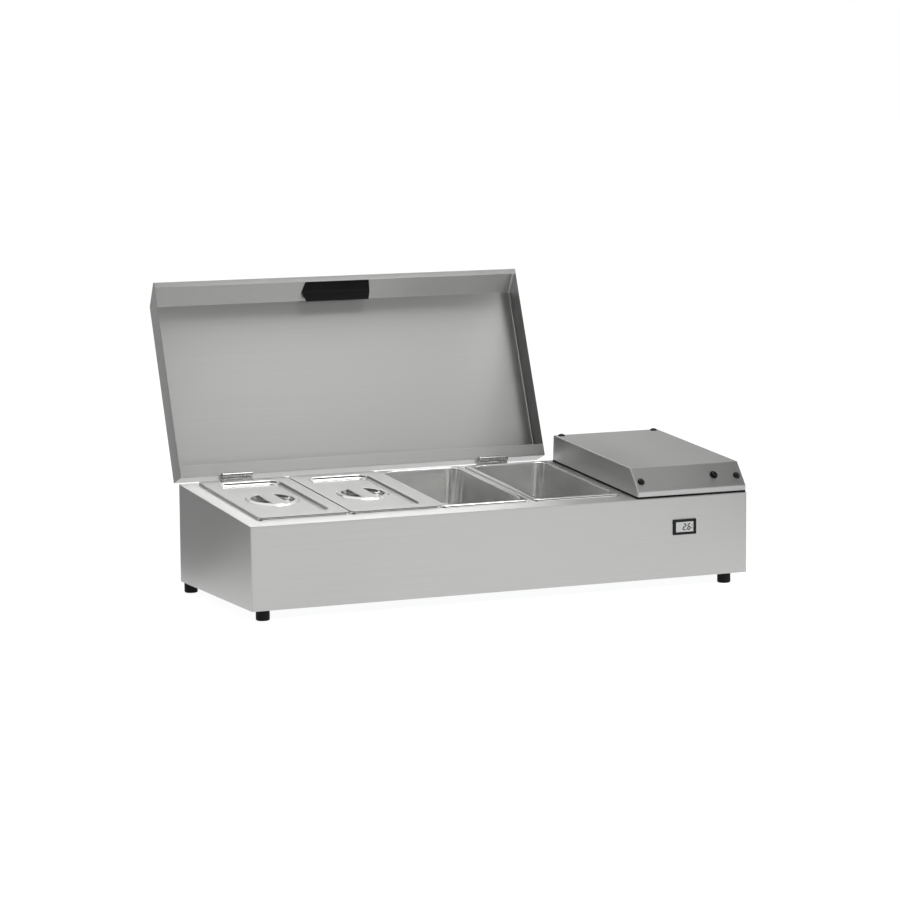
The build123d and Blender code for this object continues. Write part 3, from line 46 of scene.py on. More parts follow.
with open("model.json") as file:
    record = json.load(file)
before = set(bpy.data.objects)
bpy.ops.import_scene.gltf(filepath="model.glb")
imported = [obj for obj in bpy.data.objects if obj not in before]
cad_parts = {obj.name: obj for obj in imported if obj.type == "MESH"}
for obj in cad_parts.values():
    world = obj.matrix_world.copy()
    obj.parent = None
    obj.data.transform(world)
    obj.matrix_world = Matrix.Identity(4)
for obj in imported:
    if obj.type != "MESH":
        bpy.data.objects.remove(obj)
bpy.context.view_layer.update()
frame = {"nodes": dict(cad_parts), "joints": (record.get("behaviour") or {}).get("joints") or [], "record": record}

MM = 0.001
GRAIN_MAP = "grain"
# Edges that turn further than this are sharp
FOLD_ANGLE = math.radians(35)
# How far bridged rings are pulled apart
PULL = 100 * MM
# Points closer than this are one point
TOUCH = 0.01 * MM
# Steps of a full circle
ROUND_STEPS = 64
# Cosines from which a face looks along a direction, and from which it looks sideways
ALONG, SIDEWAYS = 0.99, 0.7
# Nearly all values of a noise lie between these
NOISE_LOW, NOISE_HIGH = 0.3, 0.7
LEFT, RIGHT = Vector((-1, 0, 0)), Vector((1, 0, 0))
FRONT, UP = Vector((0, -1, 0)), Vector((0, 0, 1))

JOINTS = {joint["name"]: joint for joint in frame["joints"]}
SLOT_OF = {part["node"]: part["material_slot"] for part in frame["record"]["subparts"]}
BODY_OF = {
    node: body
    for body, nodes in frame["record"]["behaviour"]["bodies"].items()
    for node in nodes
}


# Frames of the sloping deck, the open lid and the sloping fronts

def moved(x=0.0, y=0.0, z=0.0):
    return Matrix.Translation((x, y, z))


def turned(angle, axis="X"):
    return Matrix.Rotation(angle, 4, axis)


def box_in(place, *nodes):
    """Lowest and highest corner of CAD nodes, measured in the frame place."""
    into = place.inverted()
    points = [into @ vert.co for node in nodes for vert in frame["nodes"][node].data.vertices]
    low = Vector(min(point[axis] for point in points) for axis in range(3))
    high = Vector(max(point[axis] for point in points) for axis in range(3))
    return low, high


PAN_LIFT = Vector(JOINTS["pan_1_lift"]["axis"])
TILT = math.atan2(-PAN_LIFT.y, PAN_LIFT.z)
DECK_LOW, DECK_HIGH = box_in(turned(TILT), "top_deck")
DECK = turned(TILT) @ moved(0, DECK_LOW.y, DECK_HIGH.z)
DECK_WIDTH = DECK_HIGH.x - DECK_LOW.x
DECK_LENGTH = DECK_HIGH.y - DECK_LOW.y
SHEET = DECK_HIGH.z - DECK_LOW.z

# How far the open lid leans back, and the slope of the lid's and the cover's fronts
LID_LEAN, SLOPE_ANGLE = math.radians(20.5), math.radians(46)
HINGE = Matrix.Translation(JOINTS["lid_hinge"]["pos_m"])
LID = HINGE @ turned(-math.pi / 2 - LID_LEAN - TILT) @ HINGE.inverted() @ DECK
# Width of a weld's two sides, in radii of its rounding
WELD_REACH = 1.1


# Settings that a user would change

def length(name, description, millimetres):
    return bpy.props.FloatProperty(
        name=name, description=description, default=millimetres * MM, subtype="DISTANCE", unit="LENGTH")


def angle(name, description, degrees):
    return bpy.props.FloatProperty(
        name=name, description=description, default=math.radians(degrees), subtype="ANGLE", unit="ROTATION")


def share(name, description, value, most=1.0):
    return bpy.props.FloatProperty(
        name=name, description=description, default=value, min=0.0, max=most, subtype="FACTOR")


def count(name, description, number):
    return bpy.props.IntProperty(name=name, description=description, default=number, min=1)


def colour(code):
    """Linear colour of an sRGB hex value."""
    parts = [int(code[i:i + 2], 16) / 255 for i in (1, 3, 5)]
    return [p / 12.92 if p <= 0.04045 else ((p + 0.055) / 1.055) ** 2.4 for p in parts]


def tint(name, description, code):
    return bpy.props.FloatVectorProperty(
        name=name, description=description, default=colour(code), size=3, min=0.0, max=1.0, subtype="COLOR")


class CasingSettings(bpy.types.PropertyGroup):
    bend: length("Bend radius", "Outside radius of the folds in the sheet", 2.0)
    deburr: length("Deburred edge", "Rounding of cut sheet edges", 0.3)
    seat: length("Pan seat", "How far a pan's flange reaches over the deck", 8.0)
    opening_corner: length("Opening corner", "Corner radius of the deck openings", 4.0)
    bay_front: length("Bay front", "From the deck's front edge to the machine bay's opening", 52.0)
    bay_margin: length("Bay margin", "Deck left round the other sides of the bay's opening", 20.0)
    slot_length: length("Slot length", "Length of an air slot", 68.0)
    slot_height: length("Slot height", "Height of an air slot", 5.0)
    slot_corner: length("Slot corner", "Corner radius of an air slot", 2.0)
    slot_pitch: length("Slot pitch", "Distance from one row of air slots to the next", 12.0)
    slot_gap: length("Slot gap", "Gap between the two columns of air slots", 9.0)
    slot_setback: length("Slot setback", "From the front to the middle of the side's air slots", 158.0)
    slot_first: length("First slot", "Height of the lowest row of air slots above the bench", 64.0)
    slot_rows: count("Slot rows", "Rows of air slots in the right side", 7)


class CoverSettings(bpy.types.PropertyGroup):
    lip: length("Cover lip", "Height of the upright lip under the cover's slope", 10.0)
    edge: length("Cover edge", "Outside radius of the cover's folded edges", 2.0)
    deburr: length("Deburred edge", "Rounding of the cover's cut sheet edges", 0.4)
    fixing_inset: length("Fixing inset", "From the cover's end to the middle of a fixing", 13.0)
    fixing_rear: length("Rear fixing", "From the cover's rear edge to the middle of a fixing", 10.0)
    fixing_drop: length("Fixing drop", "How far down the slope the front fixings sit", 31.0)
    fixing_head: length("Fixing head", "Diameter of a fixing's head", 14.0)
    fixing_rise: length("Fixing rise", "Height of a fixing's head", 4.0)
    fixing_skirt: length("Fixing skirt", "Height of a fixing's upright edge", 1.0)
    button_inset: length("Button inset", "From the cover's right end to the button", 60.0)
    button_drop: length("Button drop", "How far down the slope the button sits", 26.5)
    button_collar: length("Button collar", "Diameter of the button's collar", 15.5)
    button_rise: length("Collar rise", "Height of the button's collar", 2.0)
    button_edge: length("Button edge", "Rounding of the button and its collar", 1.0)
    button_barrel: length("Button barrel", "Diameter of the barrel under the collar", 13.0)
    button_length: length("Barrel length", "How deep the barrel reaches under the cover", 22.0)
    barrel_hole: length("Barrel hole", "Diameter of the cover's hole for the barrel", 13.4)
    button_width: length("Button", "Diameter of the button", 10.0)
    button_fit: length("Button fit", "Gap round the button in its bore", 0.06)
    button_plunger: length("Button plunger", "How deep the button reaches into its bore", 14.0)
    button_standout: length("Button standout", "How far the button stands above its collar", 2.6)


class LidSettings(bpy.types.PropertyGroup):
    front_flange: length("Front flange", "Width of the flange along the lid's front rim", 11.0)
    rear_flange: length("Rear flange", "Width of the flange along the lid's rear rim", 23.0)
    slope_run: length("Slope run", "Depth of the lid's sloping front", 36.4)
    deburr: length("Deburred edge", "Rounding of the lid's cut sheet edges", 0.25)
    weld: length("Corner weld", "Radius of the welds inside the lid's ends", 2.6)
    weld_skin: length("Weld skin", "How deep a weld's ground skin is sunk into the sheet", 0.3)
    barrel_room: length("Barrel room", "Radius cut out of the rim round a hinge barrel", 6.0)
    barrel_side: length("Barrel side room", "Gap at each end of a hinge barrel", 1.0)
    handle_rim: length("Handle rim", "How far the handle's rim laps over its cut-out", 1.6)
    handle_proud: length("Handle proud", "How far the handle's rim stands out of the slope", 2.0)
    handle_wall: length("Handle wall", "Wall of the handle's cup", 1.6)
    handle_corner: length("Handle corner", "How much narrower the handle is at its long edges", 5.8)
    handle_ridge: length("Handle ridge", "Height of the handle's ridge above its lower edge", 29.0)
    handle_shallow: length("Handle shallow", "Depth of the cup at its lower edge", 2.5)
    handle_bend: length("Handle bend", "Depth of the cup along its ridge", 3.0)
    handle_deep: length("Handle deep", "Depth of the cup at its upper edge", 16.0)
    handle_round: length("Handle rounding", "Radius along the handle's ridge", 3.2)
    handle_edge: length("Handle edge", "Rounding of the handle's rim", 1.8)


class PanSettings(bpy.types.PropertyGroup):
    sheet: length("Pan sheet", "Sheet thickness of a pan", 0.8)
    flange: length("Pan flange", "Width of the flange round a pan's mouth", 11.0)
    corner: length("Pan corner", "Corner radius of the flange", 10.0)
    mouth_corner: length("Mouth corner", "Corner radius of the mouth", 24.0)
    taper: length("Taper", "How much each wall leans in over the depth", 6.0)
    corner_draw: length("Corner draw", "How much the corner radius shrinks over the depth", 2.0)
    floor_round: length("Floor rounding", "Radius between the walls and the floor", 9.0)
    lip_round: length("Lip rounding", "Radius of the flange's outer edge", 4.0)
    mouth_round: length("Mouth rounding", "Radius between the flange and the walls", 3.0)


class PanLidSettings(bpy.types.PropertyGroup):
    sheet: length("Pan lid sheet", "Sheet thickness of a pan lid", 0.6)
    corner: length("Pan lid corner", "Corner radius of a pan lid", 9.0)
    rim: length("Pan lid rim", "Width of the flat rim", 26.0)
    recess: length("Recess", "Depth of the pressed recess", 5.2)
    recess_corner: length("Recess corner", "Corner radius of the recess", 20.0)
    recess_draft: length("Recess draft", "How far the recess walls lean in", 2.5)
    press_round: length("Press rounding", "Radius along the pressed edges", 2.6)
    press_flat: length("Press flat", "Flat strip beside the pressed edges on the recess floor", 3.12)
    ring: length("Ring", "Diameter of the raised ring round the handle", 100.0)
    ring_rise: length("Ring rise", "Height of the raised ring", 2.0)
    shelf: length("Shelf", "Diameter of the flat shelf inside the ring", 93.0)
    dish: length("Dish", "Diameter of the dish under the handle", 83.0)
    dish_depth: length("Dish depth", "Depth of the dish", 14.0)
    dish_round: length("Dish rounding", "Radius between the dish's wall and its floor", 8.0)
    dish_draft: angle("Dish draft", "How far the dish's wall leans out", 15.0)
    bar: length("Handle bar", "Width of the bar left across the dish", 27.0)
    bar_corner: length("Bar corner", "Corner cut where the bar meets the ring", 3.5)
    roll: length("Rolled edge", "Radius of the rolled edge of the finger holes", 1.6)


class FittingSettings(bpy.types.PropertyGroup):
    foot_edge: length("Foot edge", "Rounding of a foot's lower edge", 3.0)
    foot_recess: length("Foot recess", "Diameter of the screw recess under a foot", 12.0)
    foot_recess_depth: length("Foot recess depth", "Depth of the screw recess", 8.0)
    foot_chamfer: length("Foot chamfer", "Chamfer of a foot's upper edge and of its recess", 1.0)
    window_width: length("Window width", "Width of the thermometer's window", 36.3)
    window_height: length("Window height", "Height of the thermometer's window", 18.8)
    window_corner: length("Window corner", "Corner radius of the window", 0.6)
    window_slope: length("Window slope", "Width of the sloping frame round the window", 2.4)
    window_sink: length("Window sink", "How far the window lies below the bezel's face", 0.7)
    bezel_corner: length("Bezel corner", "Corner radius of the thermometer's bezel", 1.2)
    bezel_edge: length("Bezel edge", "Rounding of the bezel's outer edge", 0.72)
    digit_height: length("Digit height", "Height of a digit on the display", 10.4)
    digit_width: length("Digit width", "Width of a digit on the display", 5.0)
    digit_stroke: length("Digit stroke", "Width of a digit's segments", 2.0)
    digit_rise: length("Digit rise", "Thickness of the digits", 0.12)
    segment_gap: length("Segment gap", "Gap between two segments of a digit", 0.5)
    segment_tip: length("Segment tip", "Chamfer at the ends of a digit's segments", 0.9)
    mark_chamfer: length("Mark chamfer", "Chamfer of the point and the small marks", 0.6)
    digit_pitch: length("Digit pitch", "Distance from one digit to the next", 9.7)
    digit_right: length("Last digit", "From the window's middle to the last digit", 9.3)
    mark_right: length("Unit marks", "From the window's middle to the small marks after the digits", 15.4)
    digit_slant: angle("Digit slant", "How far the digits lean to the right", 8.0)


class FinishSettings(bpy.types.PropertyGroup):
    stainless: tint("Stainless", "Brushed stainless sheet", "#D3D3D2")
    stainless_streak: tint("Stainless streak", "Darker streaks of the brushing", "#CFCFCE")
    smear: share("Smear", "How much more the brush lines blur reflections across than along", 0.9)
    pressed: tint("Pressed stainless", "Bright pressed stainless of pans and pan lids", "#EFEFEE")
    plastic: tint("Black plastic", "Moulded black plastic", "#161617")
    rubber: tint("Black rubber", "Rubber feet and seals", "#121213")
    display: tint("Display grey", "Unlit liquid crystal display", "#B9BBB9")
    copper: tint("Copper", "Drawn copper tube", "#C58A66")
    foam: tint("Foam", "Insulating foam", "#E2D3A4")


class StageSettings(bpy.types.PropertyGroup):
    distance: length("Camera distance", "From the camera to the middle of the front", 6050.0)
    focal: bpy.props.FloatProperty(
        name="Focal length", description="Focal length on a 36 mm wide sensor", default=133.27,
        unit="CAMERA")
    yaw: angle("Camera yaw", "How far the camera looks to the right", 23.81)
    pitch: angle("Camera pitch", "How far the camera looks down", 6.98)
    roll: angle("Camera roll", "How far the camera leans", -0.50)
    aim_right: length("Aim right", "How far the front's middle lies right of the picture's middle", 103.79)
    aim_up: length("Aim up", "How far the front's middle lies above the picture's middle", -182.14)
    ambient: share("Ambient", "Light that comes from all round", 0.6)
    key: share("Key light", "Light that the lamp adds to what faces it", 0.6)
    lamp_distance: length("Lamp distance", "From the unit to the lamp", 3400.0)
    lamp_width: length("Lamp width", "Width and height of the lamp", 1800.0)
    card_distance: length("Card distance", "From the unit to the cards that only reflections see", 10000.0)
    floor_glow: share("Floor glow", "Share of the floor's white that no shadow reaches", 0.9)
    floor_shade: share("Floor shade", "Share of the floor's white that the shadow darkens", 0.25)
    floor_tone: share("Floor tone", "Tone of the floor for the light that it throws back", 0.8)


class PrepWellSettings(bpy.types.PropertyGroup):
    casing: bpy.props.PointerProperty(type=CasingSettings)
    cover: bpy.props.PointerProperty(type=CoverSettings)
    lid: bpy.props.PointerProperty(type=LidSettings)
    pan: bpy.props.PointerProperty(type=PanSettings)
    pan_lid: bpy.props.PointerProperty(type=PanLidSettings)
    fitting: bpy.props.PointerProperty(type=FittingSettings)
    finish: bpy.props.PointerProperty(type=FinishSettings)
    stage: bpy.props.PointerProperty(type=StageSettings)


# Materials

def add_node(tree, kind, settings=None, values=None, links=None):
    """Add a node, set its attributes and input values, and link outputs to its inputs."""
    node = tree.nodes.new(kind)
    for attribute, value in (settings or {}).items():
        setattr(node, attribute, value)
    for socket, value in (values or {}).items():
        node.inputs[socket].default_value = value
    for socket, output in (links or {}).items():
        tree.links.new(output, node.inputs[socket])
    return node


def shade_of(tone, factor):
    return [min(1.0, part * factor) for part in tone]


def patterned(name, dark, light, roughness, grain, depth=0.0, metallic=0.0, detail=3.0, mapped=False,
              sockets=None):
    """Material whose colour, roughness and height follow one noise. grain and depth are in millimetres."""
    material = bpy.data.materials.new(name)
    material.use_nodes = True
    tree = material.node_tree
    shader = tree.nodes["Principled BSDF"]
    shader.inputs["Metallic"].default_value = metallic
    for socket, value in (sockets or {}).items():
        shader.inputs[socket].default_value = value
    if mapped:
        place = add_node(tree, "ShaderNodeUVMap", {"uv_map": GRAIN_MAP}).outputs["UV"]
    else:
        place = add_node(tree, "ShaderNodeTexCoord").outputs["Object"]
    scale = add_node(tree, "ShaderNodeMapping", values={"Scale": [1 / (size * MM) for size in grain]},
                     links={"Vector": place})
    noise = add_node(tree, "ShaderNodeTexNoise", values={"Scale": 1.0, "Detail": detail},
                     links={"Vector": scale.outputs["Vector"]})
    height = noise.outputs["Fac"]
    ramp = add_node(tree, "ShaderNodeValToRGB", links={"Fac": height})
    for element, position, tone in zip(ramp.color_ramp.elements, (NOISE_LOW, NOISE_HIGH), (dark, light)):
        element.position = position
        element.color = (*tone, 1.0)
    gloss = add_node(tree, "ShaderNodeMapRange",
                     values={"From Min": NOISE_LOW, "From Max": NOISE_HIGH,
                             "To Min": roughness[0], "To Max": roughness[1]},
                     links={"Value": height})
    tree.links.new(ramp.outputs["Color"], shader.inputs["Base Color"])
    tree.links.new(gloss.outputs["Result"], shader.inputs["Roughness"])
    if depth:
        bump = add_node(tree, "ShaderNodeBump", values={"Distance": depth * MM}, links={"Height": height})
        tree.links.new(bump.outputs["Normal"], shader.inputs["Normal"])
    return material


def palette():
    return bpy.context.scene.prep_well.finish


def even(size):
    """Grain of one size in every direction."""
    return (size, size, size)


# Brushed sheet: roughness, and width and length of its brush lines as drawn, in millimetres
BRUSH_ROUGHNESS, BRUSH_WIDTH, BRUSH_LENGTH = (0.395, 0.405), 1.6, 600.0


def brushed_stainless():
    # 304 stainless sheet, brushed along its length: a soft grey mirror whose brush lines smear reflections
    # across themselves. Real lines are about 0.2 mm apart, which a picture of the whole unit can't show,
    # so they are drawn wider and faint.
    tones = palette()
    material = patterned("brushed_stainless", tones.stainless_streak, tones.stainless, BRUSH_ROUGHNESS,
                         (BRUSH_WIDTH, BRUSH_LENGTH, BRUSH_WIDTH), metallic=1.0, mapped=True,
                         sockets={"Anisotropic": tones.smear})
    tree = material.node_tree
    across = add_node(tree, "ShaderNodeTangent", {"direction_type": "UV_MAP", "uv_map": GRAIN_MAP})
    tree.links.new(across.outputs["Tangent"], tree.nodes["Principled BSDF"].inputs["Tangent"])
    return material


def plain_stainless():
    # The same sheet on carried nodes inside the unit. They have no map of their brush lines.
    tones = palette()
    return patterned("plain_stainless", tones.stainless_streak, tones.stainless, BRUSH_ROUGHNESS,
                     (BRUSH_LENGTH, BRUSH_WIDTH, BRUSH_WIDTH), metallic=1.0)


def pressed_stainless():
    # 304 stainless pressed bright: sharper reflections, with a slow waviness left by the press tool.
    tone = palette().pressed
    return patterned("pressed_stainless", shade_of(tone, 0.96), tone, (0.11, 0.16), even(38.0),
                     depth=0.004, metallic=0.9, detail=1.0)


def galvanised_steel():
    # Hot-dip galvanised sheet: dull grey with a spangle of crystals about 12 mm across.
    return patterned("galvanised_steel", colour("#9A9EA1"), colour("#B7BBBD"), (0.34, 0.52), even(12.0),
                     depth=0.01, metallic=1.0, detail=1.0)


def chromed_hinge_steel():
    # Polished plated hinge steel: almost a mirror, with fine rubbing marks.
    return patterned("chromed_hinge_steel", colour("#A6A6A5"), colour("#BDBDBB"), (0.20, 0.30),
                     (0.8, 9.0, 9.0), depth=0.001, metallic=1.0)


def zinc_screw_steel():
    # Bright zinc-plated screws: pale, a little cloudy.
    return patterned("zinc_screw_steel", colour("#B4B5B3"), colour("#CDCDCA"), (0.22, 0.34), even(1.2),
                     depth=0.004, metallic=1.0)


def moulded_black_plastic():
    # ABS moulded with a fine spark-eroded texture of about 0.5 mm: black with a soft, broken shine.
    tone = palette().plastic
    return patterned("moulded_black_plastic", shade_of(tone, 0.8), shade_of(tone, 1.2), (0.25, 0.35),
                     even(0.5), depth=0.02, sockets={"Specular IOR Level": 0.2})


def gloss_black_plastic():
    # Polished ABS caps: black with a clear highlight and faint moulding flow.
    tone = palette().plastic
    return patterned("gloss_black_plastic", shade_of(tone, 0.9), shade_of(tone, 1.15), (0.1, 0.16),
                     even(4.0), depth=0.004, sockets={"Specular IOR Level": 0.45})


def neoprene_rubber():
    # Moulded neoprene: dull black, darker in the hollows and lighter on the raised parts of a 0.8 mm grain.
    tone = palette().rubber
    return patterned("neoprene_rubber", shade_of(tone, 0.85), shade_of(tone, 1.3), (0.55, 0.72),
                     even(0.8), depth=0.03, sockets={"Specular IOR Level": 0.15})


def display_glass():
    # Unlit liquid crystal cell behind clear acrylic: even pale grey with a faint cloud and a clear shine.
    tone = palette().display
    return patterned("display_glass", shade_of(tone, 0.96), tone, (0.3, 0.36), even(14.0))


def insulating_foam():
    # Poured polyurethane foam: pale yellow, matt, with cells of about 1.5 mm.
    tone = palette().foam
    return patterned("insulating_foam", shade_of(tone, 0.85), tone, (0.8, 0.95), even(1.5), depth=0.2)


def drawn_copper():
    # Drawn copper tube: warm metal that has dulled in patches of about 20 mm.
    tone = palette().copper
    return patterned("drawn_copper", shade_of(tone, 0.75), tone, (0.24, 0.42), even(20.0),
                     depth=0.005, metallic=1.0)


def black_enamel():
    # Baked black enamel on the compressor: glossy with a fine orange peel of about 2 mm.
    return patterned("black_enamel", colour("#101011"), colour("#17181A"), (0.22, 0.3), even(2.0),
                     depth=0.01)


def aluminium_fins():
    # Rolled aluminium fins: pale metal with fine marks across the fins.
    return patterned("aluminium_fins", colour("#AEB0B2"), colour("#CFD1D2"), (0.3, 0.42), (2.0, 6.0, 6.0),
                     depth=0.01, metallic=1.0)


MAKERS = {
    "stainless_sheet": (brushed_stainless, plain_stainless),
    "stainless_pressing": (pressed_stainless,),
    "galvanised_sheet": (galvanised_steel,),
    "polished_hinge_steel": (chromed_hinge_steel,),
    "screw_steel": (zinc_screw_steel,),
    "black_rubber": (neoprene_rubber,),
    "black_plastic": (moulded_black_plastic,),
    "black_gloss_plastic": (gloss_black_plastic,),
    "display_grey": (display_glass,),
    "insulating_foam": (insulating_foam,),
    "copper_tube": (drawn_copper,),
    "black_enamel": (black_enamel,),
    "condenser_aluminium": (aluminium_fins,),
}


def finishes(slot):
    """Materials of a record slot, made at first use: for modelled pieces, and last for carried nodes."""
    return [bpy.data.materials.get(maker.__name__) or maker() for maker in MAKERS[slot]]


# Modelling

def bevelled(bm, geometry, offset, segments, affect="EDGES"):
    return bmesh.ops.bevel(bm, geom=geometry, offset=offset, offset_type="OFFSET", segments=segments,
                           profile=0.5, affect=affect, material=-1)


def path(bm, points, radius=0.0, closed=False, steps=5):
    """Edges through points, with each corner rounded to a radius."""
    known = set(bm.edges)
    verts = [bm.verts.new(point) for point in points]
    for pair in zip(verts, verts[1:] + verts[:1] if closed else verts[1:]):
        bm.edges.new(pair)
    corners = verts if closed else verts[1:-1]
    if radius:
        turns = {}
        for vert in corners:
            one, other = (edge.other_vert(vert).co - vert.co for edge in vert.link_edges)
            turns[vert] = math.pi - one.angle(other)
        for vert, turn in turns.items():
            bevelled(bm, [vert], radius * math.tan(turn / 2), steps, "VERTICES")
    return [edge for edge in bm.edges if edge not in known]


def ring(bm, width, depth, radius, place, steps=6):
    """Rectangle with round corners, lying flat round the middle of place."""
    corners = [(x * width / 2, y * depth / 2, 0) for x, y in ((-1, -1), (1, -1), (1, 1), (-1, 1))]
    return path(bm, [place @ Vector(corner) for corner in corners], radius, True, steps)


def plate(bm, size, place=Matrix()):
    """Rectangle of a width and a depth, lying flat round the middle of place. Returns its corners."""
    return bmesh.ops.create_grid(bm, x_segments=1, y_segments=1, size=0.5,
                                 matrix=place @ Matrix.Diagonal((*size, 1, 1)))["verts"]


def circle(bm, diameter, place, steps=ROUND_STEPS):
    verts = bmesh.ops.create_circle(bm, segments=steps, radius=diameter / 2, matrix=place)["verts"]
    return list({edge for vert in verts for edge in vert.link_edges})


def verts_of(geometry):
    return [item for item in geometry if isinstance(item, bmesh.types.BMVert)]


def swept(bm, edges, along):
    """Sheet swept from edges along a vector. Returns the edges at its far side."""
    made = bmesh.ops.extrude_edge_only(bm, edges=edges)["geom"]
    bmesh.ops.translate(bm, vec=along, verts=verts_of(made))
    return [item for item in made if isinstance(item, bmesh.types.BMEdge)]


def bridged(bm, *rings, apart=UP):
    """Sheet from ring to ring. Rings in one plane would twist, so they are pulled apart meanwhile."""
    sets = [list({vert for edge in edges for vert in edge.verts}) for edges in rings]
    for step, verts in enumerate(sets):
        bmesh.ops.translate(bm, vec=apart * PULL * step, verts=verts)
    for one, other in zip(rings, rings[1:]):
        bmesh.ops.bridge_loops(bm, edges=one + other)
    for step, verts in enumerate(sets):
        bmesh.ops.translate(bm, vec=-apart * PULL * step, verts=verts)


def rounded(bm, edges, radius, steps=4):
    """Round the fold along edges, which all turn by the same angle."""
    turn = edges[0].calc_face_angle()
    bevelled(bm, edges, radius * math.tan(turn / 2), steps)


def filled(bm, edges, normal):
    """Flat face inside an outer loop of edges, left open inside the other loops."""
    bmesh.ops.triangle_fill(bm, use_beauty=True, use_dissolve=False, edges=edges, normal=normal)


def pierced(bm, look, loops):
    """Cut loops of edges out of the largest face that looks along a direction."""
    bm.normal_update()
    face = max((f for f in bm.faces if f.normal.dot(look) > ALONG), key=lambda f: f.calc_area())
    rim = list(face.edges)
    bmesh.ops.delete(bm, geom=[face], context="FACES_ONLY")
    filled(bm, rim + loops, look)


def facing(bm, look):
    """Turn the faces of a sheet to one side, so that the largest looks along a direction."""
    bmesh.ops.recalc_face_normals(bm, faces=bm.faces)
    if max(bm.faces, key=lambda f: f.calc_area()).normal.dot(look) < 0:
        bmesh.ops.reverse_faces(bm, faces=bm.faces)


def spun(bm, outline, place, steps=48):
    """Solid turned from an outline of (radius, height) points about the Z axis of place."""
    known = set(bm.verts)
    verts = [bm.verts.new((radius, 0, height)) for radius, height in outline]
    edges = [bm.edges.new(pair) for pair in zip(verts, verts[1:])]
    bmesh.ops.spin(bm, geom=verts + edges, cent=(0, 0, 0), axis=(0, 0, 1), angle=math.tau, steps=steps,
                   use_merge=True)
    made = [vert for vert in bm.verts if vert not in known]
    bmesh.ops.remove_doubles(bm, verts=made, dist=TOUCH)
    made = [vert for vert in bm.verts if vert not in known]
    bmesh.ops.recalc_face_normals(bm, faces=list({face for vert in made for face in vert.link_faces}))
    bmesh.ops.transform(bm, matrix=place, verts=made)


def arc(middle, radius, start, end, steps=5):
    """Points of (radius, height) along an arc, from one angle in degrees to another."""
    angles = [math.radians(start + (end - start) * step / steps) for step in range(steps + 1)]
    return [(middle[0] + radius * math.cos(a), middle[1] + radius * math.sin(a)) for a in angles]


def mark_grain(bm, length_ways):
    """Brush faces along X, or length ways where they look sideways. U of the map runs across the lines."""
    layer = bm.loops.layers.uv.new(GRAIN_MAP)
    for face in bm.faces:
        along = length_ways if abs(face.normal.x) > SIDEWAYS else RIGHT
        across = face.normal.cross(along)
        for loop in face.loops:
            loop[layer].uv = (loop.vert.co.dot(across), loop.vert.co.dot(along))


def placed(bm, name, node, place=Matrix(), sheet=0.0, edge=0.0, slot=None):
    """Finished piece from a bmesh. It has the finish of a CAD node and moves with that node's body."""
    bmesh.ops.transform(bm, matrix=place, verts=bm.verts)
    bm.normal_update()
    slot = slot or SLOT_OF[node]
    mark_grain(bm, place.to_3x3() @ FRONT)
    mesh = bpy.data.meshes.new(name)
    bm.to_mesh(mesh)
    bm.free()
    mesh.materials.append(finishes(slot)[0])
    mesh.shade_smooth()
    mesh.set_sharp_from_angle(angle=FOLD_ANGLE)
    piece = bpy.data.objects.new(name, mesh)
    bpy.context.scene.collection.objects.link(piece)
    if sheet:
        wall = piece.modifiers.new("Sheet thickness", "SOLIDIFY")
        wall.thickness = sheet
        wall.offset = -1.0
        wall.use_even_offset = True
    if edge:
        soft = piece.modifiers.new("Deburred edges", "BEVEL")
        soft.width = edge
        soft.segments = 2
        soft.limit_method = "ANGLE"
        soft.angle_limit = FOLD_ANGLE
        soft.loop_slide = False
    flat = piece.modifiers.new("Flat faces", "WEIGHTED_NORMAL")
    flat.keep_sharp = True
    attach(piece, BODY_OF[node])
    return piece


def stand_in(bm, name, node, place=Matrix(), sheet=0.0, edge=0.0):
    """Finished piece that takes the place of a CAD node."""
    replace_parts(placed(bm, name, node, place, sheet, edge), node)


def middle(low, high):
    return (low + high) / 2


# Operators, one for each piece or group of like pieces

